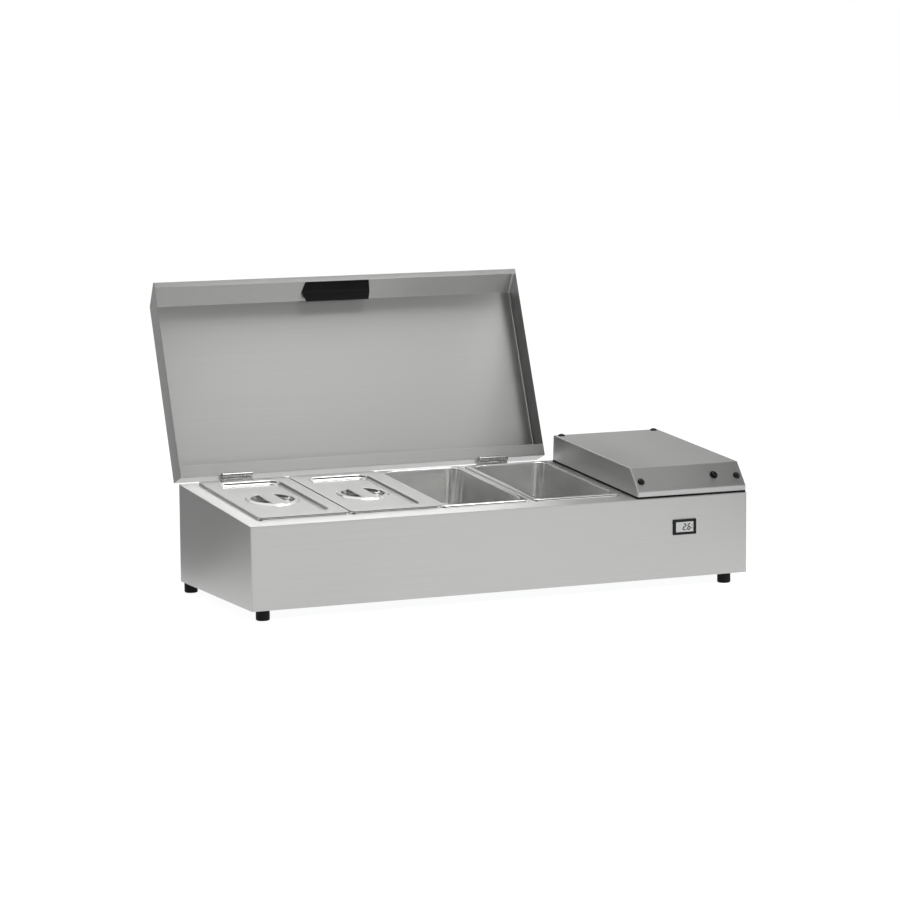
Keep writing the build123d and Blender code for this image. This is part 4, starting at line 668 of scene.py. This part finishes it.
class PREPWELL_OT_casing(bpy.types.Operator):
    """Fold the casing round the front and sides and lay the deck on it"""
    bl_idname = "prepwell.casing"
    bl_label = "Casing and deck"

    def execute(self, context):
        sizes = context.scene.prep_well.casing
        self.fold_casing(sizes)
        self.lay_deck(sizes)
        return {"FINISHED"}

    def fold_casing(self, sizes):
        low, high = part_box("outer_casing")
        bm = bmesh.new()
        plan = [(low.x, high.y), (low.x, low.y), (high.x, low.y), (high.x, high.y)]
        swept(bm, path(bm, [(x, y, low.z) for x, y in plan], sizes.bend), (0, 0, high.z - low.z))
        facing(bm, FRONT)
        bmesh.ops.bisect_plane(bm, geom=[*bm.verts, *bm.edges, *bm.faces], clear_outer=True,
                               plane_co=DECK @ Vector((0, 0, -SHEET)), plane_no=DECK.to_3x3() @ UP)
        near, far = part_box("display_module")
        mid = middle(near, far)
        window = moved(mid.x, low.y, mid.z) @ turned(math.pi / 2)
        pierced(bm, FRONT, ring(bm, far.x - near.x, far.z - near.z, 0, window))
        side = moved(high.x, low.y + sizes.slot_setback, sizes.slot_first)
        side = side @ turned(math.pi / 2, "Z") @ turned(math.pi / 2)
        column = (sizes.slot_length + sizes.slot_gap) / 2
        slots = []
        for row in range(sizes.slot_rows):
            for x in (-column, column):
                slots += ring(bm, sizes.slot_length, sizes.slot_height, sizes.slot_corner,
                              side @ moved(x, row * sizes.slot_pitch))
        pierced(bm, RIGHT, slots)
        facing(bm, FRONT)
        stand_in(bm, "casing_wrap", "outer_casing", sheet=SHEET, edge=sizes.deburr)

    def lay_deck(self, sizes):
        bm = bmesh.new()
        loops = ring(bm, DECK_WIDTH, DECK_LENGTH, 0, moved(0, DECK_LENGTH / 2))
        for pans in (("gn_pan_1", "gn_pan_2", "gn_pan_3"), ("gn_pan_4",)):
            low, high = box_in(DECK, *pans)
            mid = middle(low, high)
            loops += ring(bm, high.x - low.x - 2 * sizes.seat, high.y - low.y - 2 * sizes.seat,
                          sizes.opening_corner, moved(mid.x, mid.y))
        low, high = box_in(DECK, "unit_cover")
        rear = high.y - sizes.bay_margin
        loops += ring(bm, high.x - low.x - 2 * sizes.bay_margin, rear - sizes.bay_front,
                      sizes.opening_corner, moved((low.x + high.x) / 2, (rear + sizes.bay_front) / 2))
        filled(bm, loops, UP)
        facing(bm, UP)
        stand_in(bm, "deck_plate", "top_deck", DECK, SHEET, sizes.deburr)


class PREPWELL_OT_cover(bpy.types.Operator):
    """Fold the cover over the refrigeration unit and set its fixings and push button"""
    bl_idname = "prepwell.cover"
    bl_label = "Unit cover, fixings and button"

    def execute(self, context):
        sizes = context.scene.prep_well.cover
        low, high = box_in(DECK, "unit_cover")
        slope_foot = low.z + sizes.lip
        bend = low.y + (high.z - slope_foot) / math.tan(SLOPE_ANGLE)
        slope = moved(0, bend, high.z) @ turned(SLOPE_ANGLE)
        seat = slope @ moved(high.x - sizes.button_inset, -sizes.button_drop)
        self.fold_cover(sizes, low, high, slope_foot, bend, seat)
        self.set_fixings(sizes, low, high, slope)
        self.set_button(sizes, seat)
        return {"FINISHED"}

    def fold_cover(self, sizes, low, high, slope_foot, bend, seat):
        bm = bmesh.new()
        side = [(high.y, low.z), (low.y, low.z), (low.y, slope_foot), (bend, high.z), (high.y, high.z)]
        outline = path(bm, [(low.x, y, z) for y, z in side], closed=True)
        end = bmesh.ops.edgeloop_fill(bm, edges=outline)["faces"]
        far = bmesh.ops.extrude_face_region(bm, geom=end, use_keep_orig=True)["geom"]
        bmesh.ops.translate(bm, vec=(high.x - low.x, 0, 0), verts=verts_of(far))
        bmesh.ops.recalc_face_normals(bm, faces=bm.faces)
        bm.normal_update()
        under = [face for face in bm.faces if face.normal.z < -ALONG]
        bmesh.ops.delete(bm, geom=under, context="FACES_ONLY")
        folds = [edge for edge in bm.edges if not edge.is_boundary]
        bevelled(bm, folds, sizes.edge, segments=4)
        pierced(bm, seat.to_3x3() @ UP, circle(bm, sizes.barrel_hole, seat, steps=24))
        facing(bm, UP)
        stand_in(bm, "cover_shell", "unit_cover", DECK, SHEET, sizes.deburr)

    def set_fixings(self, sizes, low, high, slope):
        bm = bmesh.new()
        half = sizes.fixing_head / 2
        crown = sizes.fixing_rise - sizes.fixing_skirt
        # Sphere through the top of the skirt and the top of the head
        ball = (half ** 2 + crown ** 2) / (2 * crown)
        spread = math.degrees(math.asin(half / ball))
        dome = arc((0, sizes.fixing_rise - ball), ball, 90 - spread, 90, steps=8)
        outline = [(0, 0), (half, 0), *dome]
        for x in (low.x + sizes.fixing_inset, high.x - sizes.fixing_inset):
            spun(bm, outline, slope @ moved(x, -sizes.fixing_drop))
            spun(bm, outline, moved(x, high.y - sizes.fixing_rear, high.z))
        stand_in(bm, "cover_fixing_heads", "cover_fixings", DECK)

    def set_button(self, sizes, seat):
        collar, barrel, button = sizes.button_collar / 2, sizes.button_barrel / 2, sizes.button_width / 2
        edge, rise, foot = sizes.button_edge, sizes.button_rise, -sizes.button_length
        bore, stop = button + sizes.button_fit, -sizes.button_plunger - sizes.button_standout
        bm = bmesh.new()
        spun(bm, [(0, foot), (barrel, foot), (barrel, 0), (collar, 0),
                  *arc((collar - edge, rise - edge), edge, 0, 90),
                  (button + edge, rise), (bore, rise - edge), (bore, stop), (0, stop)], seat)
        stand_in(bm, "button_collar", "button_body", DECK)
        top, under = rise + sizes.button_standout, -sizes.button_plunger
        # The rounding stops short of level, so that the button's top is slightly domed
        dome = 75
        bm = bmesh.new()
        spun(bm, [(0, under), (button, under), *arc((button - edge, top - edge), edge, 0, dome), (0, top)],
             seat)
        stand_in(bm, "button_cap", "power_button", DECK)


class PREPWELL_OT_lid(bpy.types.Operator):
    """Fold the hinged lid, cut it for its handle and hinges, and close its ends"""
    bl_idname = "prepwell.lid"
    bl_label = "Hinged lid"

    def execute(self, context):
        sizes = context.scene.prep_well.lid
        bend = context.scene.prep_well.casing.bend
        low, high = box_in(LID, "lid_panel")
        side = self.section(sizes, low, high)
        slope = moved(0, *side[1]) @ turned(SLOPE_ANGLE)
        self.fold_panel(sizes, low, high, side, bend, slope)
        lining = self.section(sizes, low, high, SHEET)
        bead = self.section(sizes, low, high, SHEET + sizes.weld * WELD_REACH)
        for node in ("lid_end_left", "lid_end_right"):
            self.close_end(sizes, node, side, bend)
            self.weld_corner(sizes, node, lining, bead)
        self.mould_handle(sizes, slope)
        return {"FINISHED"}

    def section(self, sizes, low, high, inset=0.0):
        """Section of the lid from its front rim to its rear rim, drawn in by inset."""
        rise = sizes.slope_run * math.tan(SLOPE_ANGLE)
        foot = high.z - rise - inset * math.tan((math.pi / 2 - SLOPE_ANGLE) / 2)
        fold = low.y + sizes.slope_run + inset * math.tan(SLOPE_ANGLE / 2)
        front, rear, top = low.y + inset, high.y - inset, high.z - inset
        return [(front, low.z), (front, foot), (fold, top), (rear, top), (rear, low.z)]

    def fold_panel(self, sizes, low, high, side, bend, slope):
        bm = bmesh.new()
        flanges = [(low.y + sizes.front_flange, low.z), *side, (high.y - sizes.rear_flange, low.z)]
        swept(bm, path(bm, [(low.x, y, z) for y, z in flanges], bend), (high.x - low.x, 0, 0))
        facing(bm, UP)
        outline = self.handle_outline(sizes, slope, 0)
        hole = path(bm, [slope @ Vector((x, y, 0)) for x, y in outline], closed=True)
        pierced(bm, slope.to_3x3() @ UP, hole)
        axis = LID.inverted() @ HINGE.translation
        for hinge in ("hinge_left_pin", "hinge_right_pin"):
            near, far = box_in(LID, hinge)
            self.notch(bm, axis, sizes.barrel_room, near.x - sizes.barrel_side, far.x + sizes.barrel_side)
        # Cuts that end closer together than the deburred edge would spoil it
        bmesh.ops.remove_doubles(bm, verts=bm.verts, dist=sizes.deburr)
        facing(bm, UP)
        stand_in(bm, "lid_shell", "lid_panel", LID, SHEET, sizes.deburr)

    def notch(self, bm, axis, room, left, right):
        """Cut the rim away round a hinge barrel. Only faces near the hinge are cut."""
        reach = 100 * MM
        cuts = [((left, 0, 0), LEFT), ((right, 0, 0), RIGHT),
                ((0, axis.y - room, 0), FRONT), ((0, 0, axis.z + room), UP)]
        for point, normal in cuts:
            near = [f for f in bm.faces if (f.calc_center_median() - axis).yz.length < reach]
            geometry = {item for face in near for item in (face, *face.edges, *face.verts)}
            bmesh.ops.bisect_plane(bm, geom=list(geometry), plane_co=point, plane_no=normal)
        inside = []
        for face in bm.faces:
            mid = face.calc_center_median()
            if left < mid.x < right and mid.y > axis.y - room and mid.z < axis.z + room:
                inside.append(face)
        bmesh.ops.delete(bm, geom=inside, context="FACES")

    def close_end(self, sizes, node, side, bend):
        low, high = box_in(LID, node)
        outside = RIGHT if low.x > 0 else LEFT
        x = high.x if low.x > 0 else low.x
        bm = bmesh.new()
        bmesh.ops.edgeloop_fill(bm, edges=path(bm, [(x, *point) for point in side], bend, True))
        facing(bm, outside)
        stand_in(bm, node + "_plate", node, LID, SHEET, sizes.deburr)

    def weld_corner(self, sizes, node, lining, bead):
        """Round the corner between an end and the folded panel with a ground weld."""
        low, high = box_in(LID, node)
        inwards = LEFT if low.x > 0 else RIGHT
        x = low.x if low.x > 0 else high.x
        bm = bmesh.new()
        corner = path(bm, [(x, *point) for point in lining])
        bridged(bm, corner, path(bm, [(x, *point) for point in bead]), apart=RIGHT)
        swept(bm, corner, inwards * sizes.weld * WELD_REACH)
        rounded(bm, corner, sizes.weld)
        facing(bm, inwards)
        placed(bm, node + "_weld", node, LID, sizes.weld_skin)

    def handle_outline(self, sizes, slope, grow):
        """Six corners of the handle's cut-out on the slope, grown all round."""
        near, far = box_in(LID @ slope, "lid_handle")
        out = sizes.handle_rim - grow
        left, right = near.x + out, far.x - out
        lower, upper = near.y + out, far.y - out
        ridge = near.y + sizes.handle_rim + sizes.handle_ridge
        cut = sizes.handle_corner
        return [(left + cut, lower), (right - cut, lower), (right, ridge),
                (right - cut, upper), (left + cut, upper), (left, ridge)]

    def mould_handle(self, sizes, slope):
        """Cup that is shallow up to its ridge and deepens from there."""
        wall, proud = sizes.handle_wall, sizes.handle_proud
        rim = self.handle_outline(sizes, slope, sizes.handle_rim)
        mouth = self.handle_outline(sizes, slope, -wall)
        shallow, bent, deep = sizes.handle_shallow, sizes.handle_bend, sizes.handle_deep
        depths = (shallow, shallow, bent, deep, deep, bent)
        bm = bmesh.new()
        foot = path(bm, [(x, y, 0) for x, y in rim], closed=True)
        brow = path(bm, [(x, y, proud) for x, y in rim], closed=True)
        sill = path(bm, [(x, y, proud) for x, y in mouth], closed=True)
        floor = path(bm, [(x, y, wall - depth) for (x, y), depth in zip(mouth, depths)], closed=True)
        bridged(bm, foot, brow, sill, floor)
        rounded(bm, brow, sizes.handle_edge)
        face = bmesh.ops.edgeloop_fill(bm, edges=floor)["faces"][0]
        ends = [vert for vert in face.verts if abs(vert.co.z - wall + bent) < TOUCH]
        rounded(bm, bmesh.ops.connect_verts(bm, verts=ends)["edges"], sizes.handle_round)
        facing(bm, UP)
        stand_in(bm, "lid_handle_cup", "lid_handle", LID @ slope, wall)


class PREPWELL_OT_pans(bpy.types.Operator):
    """Press the four pans"""
    bl_idname = "prepwell.pans"
    bl_label = "Pans"

    def execute(self, context):
        sizes = context.scene.prep_well.pan
        for number in range(1, 5):
            self.press(sizes, f"gn_pan_{number}")
        return {"FINISHED"}

    def press(self, sizes, node):
        low, high = box_in(DECK, node)
        mid = middle(low, high)
        width, depth = high.x - low.x, high.y - low.y
        top = moved(mid.x, mid.y, high.z)
        mouth = 2 * sizes.flange
        base = mouth + 2 * sizes.taper
        bm = bmesh.new()
        foot = ring(bm, width, depth, sizes.corner, moved(mid.x, mid.y))
        lip = ring(bm, width, depth, sizes.corner, top)
        rim = ring(bm, width - mouth, depth - mouth, sizes.mouth_corner, top)
        floor = ring(bm, width - base, depth - base, sizes.mouth_corner - sizes.corner_draw,
                     moved(mid.x, mid.y, low.z + sizes.sheet))
        bridged(bm, foot, lip, rim, floor)
        bmesh.ops.edgeloop_fill(bm, edges=floor)
        rounded(bm, lip, sizes.lip_round)
        rounded(bm, rim, sizes.mouth_round)
        rounded(bm, floor, sizes.floor_round, steps=6)
        facing(bm, UP)
        stand_in(bm, node + "_pressing", node, DECK, sizes.sheet)


class PREPWELL_OT_pan_lids(bpy.types.Operator):
    """Press the two pan lids, with a dish and a bar to lift them by"""
    bl_idname = "prepwell.pan_lids"
    bl_label = "Pan lids"

    def execute(self, context):
        sizes = context.scene.prep_well.pan_lid
        for number in (1, 2):
            self.press(sizes, f"pan_lid_{number}")
        return {"FINISHED"}

    def press(self, sizes, node):
        low, high = box_in(DECK, node)
        mid = middle(low, high)
        width, depth = high.x - low.x, high.y - low.y
        top = moved(mid.x, mid.y, high.z)
        floor = top @ moved(z=-sizes.recess)
        crown = floor @ moved(z=sizes.ring_rise)
        guard = 2 * sizes.press_flat
        bm = bmesh.new()
        inset = 2 * sizes.rim
        drawn = inset + 2 * sizes.recess_draft
        outer = ring(bm, width, depth, sizes.corner, top)
        brim = ring(bm, width - inset, depth - inset, sizes.recess_corner, top)
        well = ring(bm, width - drawn, depth - drawn, sizes.recess_corner - sizes.recess_draft, floor)
        apron = ring(bm, width - drawn - guard, depth - drawn - guard,
                     sizes.recess_corner - sizes.recess_draft - guard / 2, floor)
        skirt = circle(bm, sizes.ring + guard, floor)
        rise = circle(bm, sizes.ring, floor)
        brow = circle(bm, sizes.ring - 2 * sizes.ring_rise, crown)
        shelf = circle(bm, sizes.shelf, crown)
        bridged(bm, outer, brim, well, apron, skirt, rise, brow, shelf)
        rounded(bm, brim, sizes.press_round)
        rounded(bm, well, sizes.press_round)
        rounded(bm, rise, sizes.ring_rise / 2)
        rounded(bm, brow, sizes.ring_rise / 2)
        for side in (-1, 1):
            self.finger_hole(bm, sizes, crown, side)
        bmesh.ops.remove_doubles(bm, verts=bm.verts, dist=TOUCH)
        facing(bm, UP)
        self.add_dish(bm, sizes, crown)
        stand_in(bm, node + "_pressing", node, DECK, sizes.sheet)

    def finger_hole(self, bm, sizes, crown, side):
        """Half of the shelf inside the ring, with a half-moon hole beside the bar."""
        shelf = self.half_moon(bm, sizes.shelf, 0, side, 0, crown)
        hole = self.half_moon(bm, sizes.dish, sizes.bar / 2, side, sizes.bar_corner, crown, steps=40)
        bridged(bm, shelf, hole)
        self.roll_edge(bm, sizes, hole)

    def half_moon(self, bm, diameter, cut, side, corner, crown, steps=ROUND_STEPS):
        """Loop of a disc's part beyond a cut, on the right for side 1 and on the left for -1."""
        scratch = bmesh.new()
        bmesh.ops.create_circle(scratch, cap_ends=True, segments=steps, radius=diameter / 2)
        bmesh.ops.bisect_plane(scratch, geom=[*scratch.verts, *scratch.edges, *scratch.faces],
                               plane_co=(side * cut, 0, 0), plane_no=(side, 0, 0), clear_inner=True)
        if corner:
            ends = [v for v in scratch.verts if abs(v.co.x - side * cut) < TOUCH]
            bevelled(scratch, ends, corner, segments=5, affect="VERTICES")
        scratch.faces.ensure_lookup_table()
        points = [crown @ vert.co for vert in scratch.faces[0].verts]
        scratch.free()
        return path(bm, points, closed=True)

    def roll_edge(self, bm, sizes, outline):
        """Turn the edge of a finger hole down in a quarter circle."""
        face = bmesh.ops.edgeloop_fill(bm, edges=outline)["faces"][0]
        face.normal_update()
        if face.normal.z < 0:
            face.normal_flip()
        curve = arc((0, 0), sizes.roll, 90, 0)
        for (near, high), (far, low) in zip(curve, curve[1:]):
            bmesh.ops.inset_individual(bm, faces=[face], thickness=far - near, depth=low - high,
                                       use_even_offset=True)
        bmesh.ops.delete(bm, geom=[face], context="FACES_ONLY")

    def add_dish(self, bm, sizes, crown):
        wide, top = sizes.dish / 2 + sizes.roll, -sizes.roll / 2
        deep, turn, draft = sizes.dish_depth, sizes.dish_round, sizes.dish_draft
        foot = turn * (1 - math.sin(draft)) - deep
        corner = wide - (top - foot) * math.tan(draft) - turn * math.cos(draft)
        known = set(bm.faces)
        wall = arc((corner, turn - deep), turn, -90, -math.degrees(draft))
        spun(bm, [(0, -deep), *wall, (wide, top)], crown)
        made = [face for face in bm.faces if face not in known]
        if made[0].normal.z < 0:
            bmesh.ops.reverse_faces(bm, faces=made)


class PREPWELL_OT_fittings(bpy.types.Operator):
    """Mould the feet and the thermometer"""
    bl_idname = "prepwell.fittings"
    bl_label = "Feet and thermometer"

    def execute(self, context):
        sizes = context.scene.prep_well.fitting
        for node in ("foot_front_left", "foot_front_right", "foot_rear_left", "foot_rear_right"):
            self.mould_foot(sizes, node)
        self.frame_display(sizes)
        self.draw_digits(sizes, "26")
        return {"FINISHED"}

    def mould_foot(self, sizes, node):
        low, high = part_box(node)
        mid = middle(low, high)
        half, tall, hole = (high.x - low.x) / 2, high.z - low.z, sizes.foot_recess / 2
        edge, cut = sizes.foot_edge, sizes.foot_chamfer
        bm = bmesh.new()
        spun(bm, [(0, sizes.foot_recess_depth), (hole, sizes.foot_recess_depth), (hole, cut),
                  (hole + cut, 0), *arc((half - edge, edge), edge, -90, 0),
                  (half, tall - cut), (half - cut, tall), (0, tall)], moved(mid.x, mid.y, low.z))
        stand_in(bm, node + "_moulding", node)

    def frame_display(self, sizes):
        low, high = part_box("display_bezel")
        face = self.display_face()
        top = face @ moved(z=high.y - low.y)
        width, height, corner = high.x - low.x, high.z - low.z, sizes.bezel_corner
        opening = (sizes.window_width, sizes.window_height, sizes.window_corner)
        slope = 2 * sizes.window_slope
        bm = bmesh.new()
        foot = ring(bm, width, height, corner, face)
        brow = ring(bm, width, height, corner, top)
        sill = ring(bm, sizes.window_width + slope, sizes.window_height + slope, corner, top)
        window = ring(bm, *opening, top @ moved(z=-sizes.window_sink))
        back = ring(bm, *opening, face)
        bridged(bm, foot, brow, sill, window, back, apart=FRONT)
        bridged(bm, back, foot, apart=FRONT)
        rounded(bm, brow, sizes.bezel_edge)
        facing(bm, FRONT)
        stand_in(bm, "display_frame", "display_bezel")

    def display_face(self):
        low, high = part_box("display_bezel")
        mid = middle(low, high)
        return moved(mid.x, high.y, mid.z) @ turned(math.pi / 2)

    def draw_digits(self, sizes, number):
        """Seven-segment digits with a point before the last one."""
        low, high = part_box("display_glass")
        face = self.display_face() @ moved(z=high.y - low.y)
        bm = bmesh.new()
        half, tall, stroke = sizes.digit_width / 2, sizes.digit_height / 2, sizes.digit_stroke
        bars = {
            "top": (0, tall, False), "middle": (0, 0, False), "bottom": (0, -tall, False),
            "top left": (-half, tall / 2, True), "top right": (half, tall / 2, True),
            "bottom left": (-half, -tall / 2, True), "bottom right": (half, -tall / 2, True),
        }
        shown = {
            "2": ("top", "top right", "middle", "bottom left", "bottom"),
            "6": ("top", "top left", "middle", "bottom left", "bottom right", "bottom"),
        }
        for index, digit in enumerate(number):
            start = sizes.digit_right - (len(number) - 1 - index) * sizes.digit_pitch
            for name in shown[digit]:
                x, y, upright = bars[name]
                long = (tall if upright else 2 * half) - sizes.segment_gap
                size = (stroke, long) if upright else (long, stroke)
                self.draw_bar(bm, sizes, size, sizes.segment_tip, moved(start + x, y))
        point = sizes.digit_right - sizes.digit_pitch / 2
        for x, y in ((point, -tall), (sizes.mark_right, -tall / 2), (sizes.mark_right, tall / 2)):
            self.draw_bar(bm, sizes, (stroke, stroke), sizes.mark_chamfer, moved(x, y))
        for vert in bm.verts:
            vert.co.x += vert.co.y * math.tan(sizes.digit_slant)
        placed(bm, "display_digits", "display_glass", face, slot="black_plastic")

    def draw_bar(self, bm, sizes, size, chamfer, place):
        made = bevelled(bm, plate(bm, size, place), chamfer, segments=1, affect="VERTICES")
        face = made["verts"][0].link_faces[0]
        top = bmesh.ops.extrude_face_region(bm, geom=[face])["geom"]
        bmesh.ops.translate(bm, vec=UP * sizes.digit_rise, verts=verts_of(top))


class PREPWELL_OT_carried(bpy.types.Operator):
    """Give every CAD node the finish of its material slot"""
    bl_idname = "prepwell.carried"
    bl_label = "Finish of the other pieces"

    def execute(self, context):
        for node, piece in frame["nodes"].items():
            material = finishes(SLOT_OF[node])[-1]
            if not piece.material_slots:
                piece.data.materials.append(material)
            for slot in piece.material_slots:
                slot.material = material
        return {"FINISHED"}


# Far cards that only reflections see. Their place is an angle sideways from the unit's middle plane and an
# angle round its length, up from the front. Then come their spread in both angles, and their brightness.
FAR_CARDS = {
    "card_front": (22, 40, 40, 42, 0.05),
    "card_high_right": (34, 72, 22, 56, 0.12),
    "card_behind": (24, 158, 48, 38, 0.18),
    "card_behind_left": (-32, 168, 62, 44, 0.25),
    "card_front_left": (-46, 40, 90, 70, 0.03),
}
# Level cards: near corner and far corner in metres, height and brightness
LEVEL_CARDS = {
    "card_floor_left": ((-3.65, 0.2), (-0.55, 6.2), 0.002, 0.28),
    "card_floor_right": ((0.75, -2.0), (4.0, 2.0), 0.002, 0.35),
    "card_overhead": ((-0.05, -0.2), (0.8, 0.45), 1.75, 6.2),
    "card_overhead_edge": ((0.8, -0.9), (1.2, 0.45), 1.75, 0.9),
    "flag_over_cover": ((0.3, -0.3), (0.52, 0.25), 0.6, 0.55),
    "flag_over_lid": ((-0.5, 0.235), (0.4, 0.33), 0.59, 1.1),
}
# Where the lamp hangs, in the angles of a far card, and the point that it and the cards turn round
LAMP_DIRECTION = (20, 45)
MIDDLE = Vector((0, 0, 0.25))
# Metres
FLOOR_WIDTH, FAR_CLIP = 60.0, 100.0
# Millimetres
SENSOR_WIDTH = 36.0


class PREPWELL_OT_stage(bpy.types.Operator):
    """Set the floor, the light, the reflector cards and the camera"""
    bl_idname = "prepwell.stage"
    bl_label = "Stage"

    def execute(self, context):
        settings = context.scene.prep_well.stage
        context.scene.view_settings.view_transform = "Standard"
        self.light_world(context.scene, settings)
        self.lay_floor(settings)
        self.hang_cards(settings)
        self.hang_lamp(context.scene, settings)
        self.aim_camera(context.scene, settings)
        return {"FINISHED"}

    def seen(self, tree):
        """Output that is 1 for what the camera sees, straight or in a reflection."""
        rays = add_node(tree, "ShaderNodeLightPath").outputs
        shown = rays["Is Camera Ray"]
        for kind in ("Is Glossy Ray", "Is Transmission Ray"):
            most = add_node(tree, "ShaderNodeMath", {"operation": "MAXIMUM"},
                            links={0: shown, 1: rays[kind]})
            shown = most.outputs[0]
        return shown

    def light_world(self, scene, settings):
        world = bpy.data.worlds.new("studio")
        world.use_nodes = True
        scene.world = world
        tree = world.node_tree
        white = add_node(tree, "ShaderNodeBackground", values={"Color": (1, 1, 1, 1), "Strength": 1.0})
        fill = tree.nodes["Background"]
        fill.inputs["Color"].default_value = (1, 1, 1, 1)
        fill.inputs["Strength"].default_value = settings.ambient
        mix = add_node(tree, "ShaderNodeMixShader",
                       links={0: self.seen(tree), 1: fill.outputs[0], 2: white.outputs[0]})
        tree.links.new(mix.outputs[0], tree.nodes["World Output"].inputs["Surface"])

    def lay_floor(self, settings):
        bm = bmesh.new()
        plate(bm, (FLOOR_WIDTH, FLOOR_WIDTH))
        tree = self.bare_tree(self.stage_object("floor", bm), "white_floor")
        glow = add_node(tree, "ShaderNodeEmission", values={"Strength": settings.floor_glow})
        shaded, plain = [add_node(tree, "ShaderNodeBsdfDiffuse", values={"Color": (tone, tone, tone, 1)})
                         for tone in (settings.floor_shade, settings.floor_tone)]
        shown = add_node(tree, "ShaderNodeAddShader", links={0: glow.outputs[0], 1: shaded.outputs[0]})
        mix = add_node(tree, "ShaderNodeMixShader",
                       links={0: self.seen(tree), 1: plain.outputs[0], 2: shown.outputs[0]})
        add_node(tree, "ShaderNodeOutputMaterial", links={"Surface": mix.outputs[0]})

    def stage_object(self, name, bm):
        mesh = bpy.data.meshes.new(name)
        bm.to_mesh(mesh)
        bm.free()
        item = bpy.data.objects.new(name, mesh)
        bpy.context.scene.collection.objects.link(item)
        return item

    def bare_tree(self, item, name):
        """Empty node tree of a new material on a stage object."""
        material = bpy.data.materials.new(name)
        material.use_nodes = True
        material.node_tree.nodes.clear()
        item.data.materials.append(material)
        return material.node_tree

    def hang_cards(self, settings):
        away = settings.card_distance
        for name, (sideways, round_length, across, up, strength) in FAR_CARDS.items():
            place = self.towards(sideways, round_length) @ moved(z=away)
            size = [2 * away * math.tan(math.radians(spread / 2)) for spread in (across, up)]
            self.hang_card(name, place, size, strength)
        for name, (near, far, height, strength) in LEVEL_CARDS.items():
            mid = [(one + other) / 2 for one, other in zip(near, far)]
            self.hang_card(name, moved(*mid, height), [b - a for a, b in zip(near, far)], strength)

    def towards(self, sideways, round_length):
        """Frame at the middle whose Z looks at an angle sideways and round the length, in degrees."""
        turn = turned(math.radians(90 - round_length)) @ turned(math.radians(sideways), "Y")
        return Matrix.Translation(MIDDLE) @ turn

    def hang_card(self, name, place, size, strength):
        bm = bmesh.new()
        plate(bm, size, place)
        card = self.stage_object(name, bm)
        tree = self.bare_tree(card, name)
        light = add_node(tree, "ShaderNodeEmission", values={"Strength": strength})
        add_node(tree, "ShaderNodeOutputMaterial", links={"Surface": light.outputs[0]})
        card.visible_camera = card.visible_diffuse = card.visible_shadow = False

    def hang_lamp(self, scene, settings):
        lamp = bpy.data.lights.new("lamp", "AREA")
        lamp.size = settings.lamp_width
        # Power that gives what faces the lamp the key light's share of white
        lamp.energy = settings.key * (math.pi * settings.lamp_distance) ** 2
        item = bpy.data.objects.new("lamp", lamp)
        scene.collection.objects.link(item)
        item.matrix_world = self.towards(*LAMP_DIRECTION) @ moved(z=settings.lamp_distance)
        item.visible_glossy = False

    def aim_camera(self, scene, settings):
        yaw, pitch, roll = settings.yaw, settings.pitch, settings.roll
        flat = math.cos(pitch)
        forward = Vector((math.sin(yaw) * flat, math.cos(yaw) * flat, -math.sin(pitch)))
        level = Vector((math.cos(yaw), -math.sin(yaw), 0))
        upright = level.cross(forward)
        right = level * math.cos(roll) + upright * math.sin(roll)
        above = upright * math.cos(roll) - level * math.sin(roll)
        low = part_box("outer_casing")[0]
        front = Vector((0, low.y, (low.z + DECK.translation.z) / 2))
        place = front - right * settings.aim_right - above * settings.aim_up - forward * settings.distance
        data = bpy.data.cameras.new("camera")
        data.lens = settings.focal
        data.sensor_width = SENSOR_WIDTH
        data.clip_end = FAR_CLIP
        camera = bpy.data.objects.new("camera", data)
        scene.collection.objects.link(camera)
        axes = Matrix((right, above, -forward)).transposed().to_4x4()
        camera.matrix_world = Matrix.Translation(place) @ axes
        scene.camera = camera


PIECES = (
    PREPWELL_OT_casing, PREPWELL_OT_cover, PREPWELL_OT_lid, PREPWELL_OT_pans, PREPWELL_OT_pan_lids,
    PREPWELL_OT_fittings, PREPWELL_OT_carried, PREPWELL_OT_stage,
)
SETTINGS = (
    CasingSettings, CoverSettings, LidSettings, PanSettings, PanLidSettings, FittingSettings,
    FinishSettings, StageSettings, PrepWellSettings,
)


class PREPWELL_PT_panel(bpy.types.Panel):
    """Lists the pieces of the prep well and their settings"""
    bl_idname = "PREPWELL_PT_panel"
    bl_label = "Prep well"
    bl_space_type = "VIEW_3D"
    bl_region_type = "UI"
    bl_category = "Prep well"

    def draw(self, context):
        for operator in PIECES:
            self.layout.operator(operator.bl_idname)
        well = context.scene.prep_well
        for group in PrepWellSettings.__annotations__:
            box = self.layout.box()
            box.label(text=group.replace("_", " ").capitalize())
            part = getattr(well, group)
            for setting in part.__annotations__:
                box.prop(part, setting)


CLASSES = (*SETTINGS, *PIECES, PREPWELL_PT_panel)


def register():
    for item in CLASSES:
        bpy.utils.register_class(item)
    bpy.types.Scene.prep_well = bpy.props.PointerProperty(type=PrepWellSettings)


def unregister():
    del bpy.types.Scene.prep_well
    for item in reversed(CLASSES):
        bpy.utils.unregister_class(item)


def main():
    register()
    bpy.ops.prepwell.casing()
    bpy.ops.prepwell.cover()
    bpy.ops.prepwell.lid()
    bpy.ops.prepwell.pans()
    bpy.ops.prepwell.pan_lids()
    bpy.ops.prepwell.fittings()
    bpy.ops.prepwell.carried()
    bpy.ops.prepwell.stage()


if __name__ == "__main__":
    main()
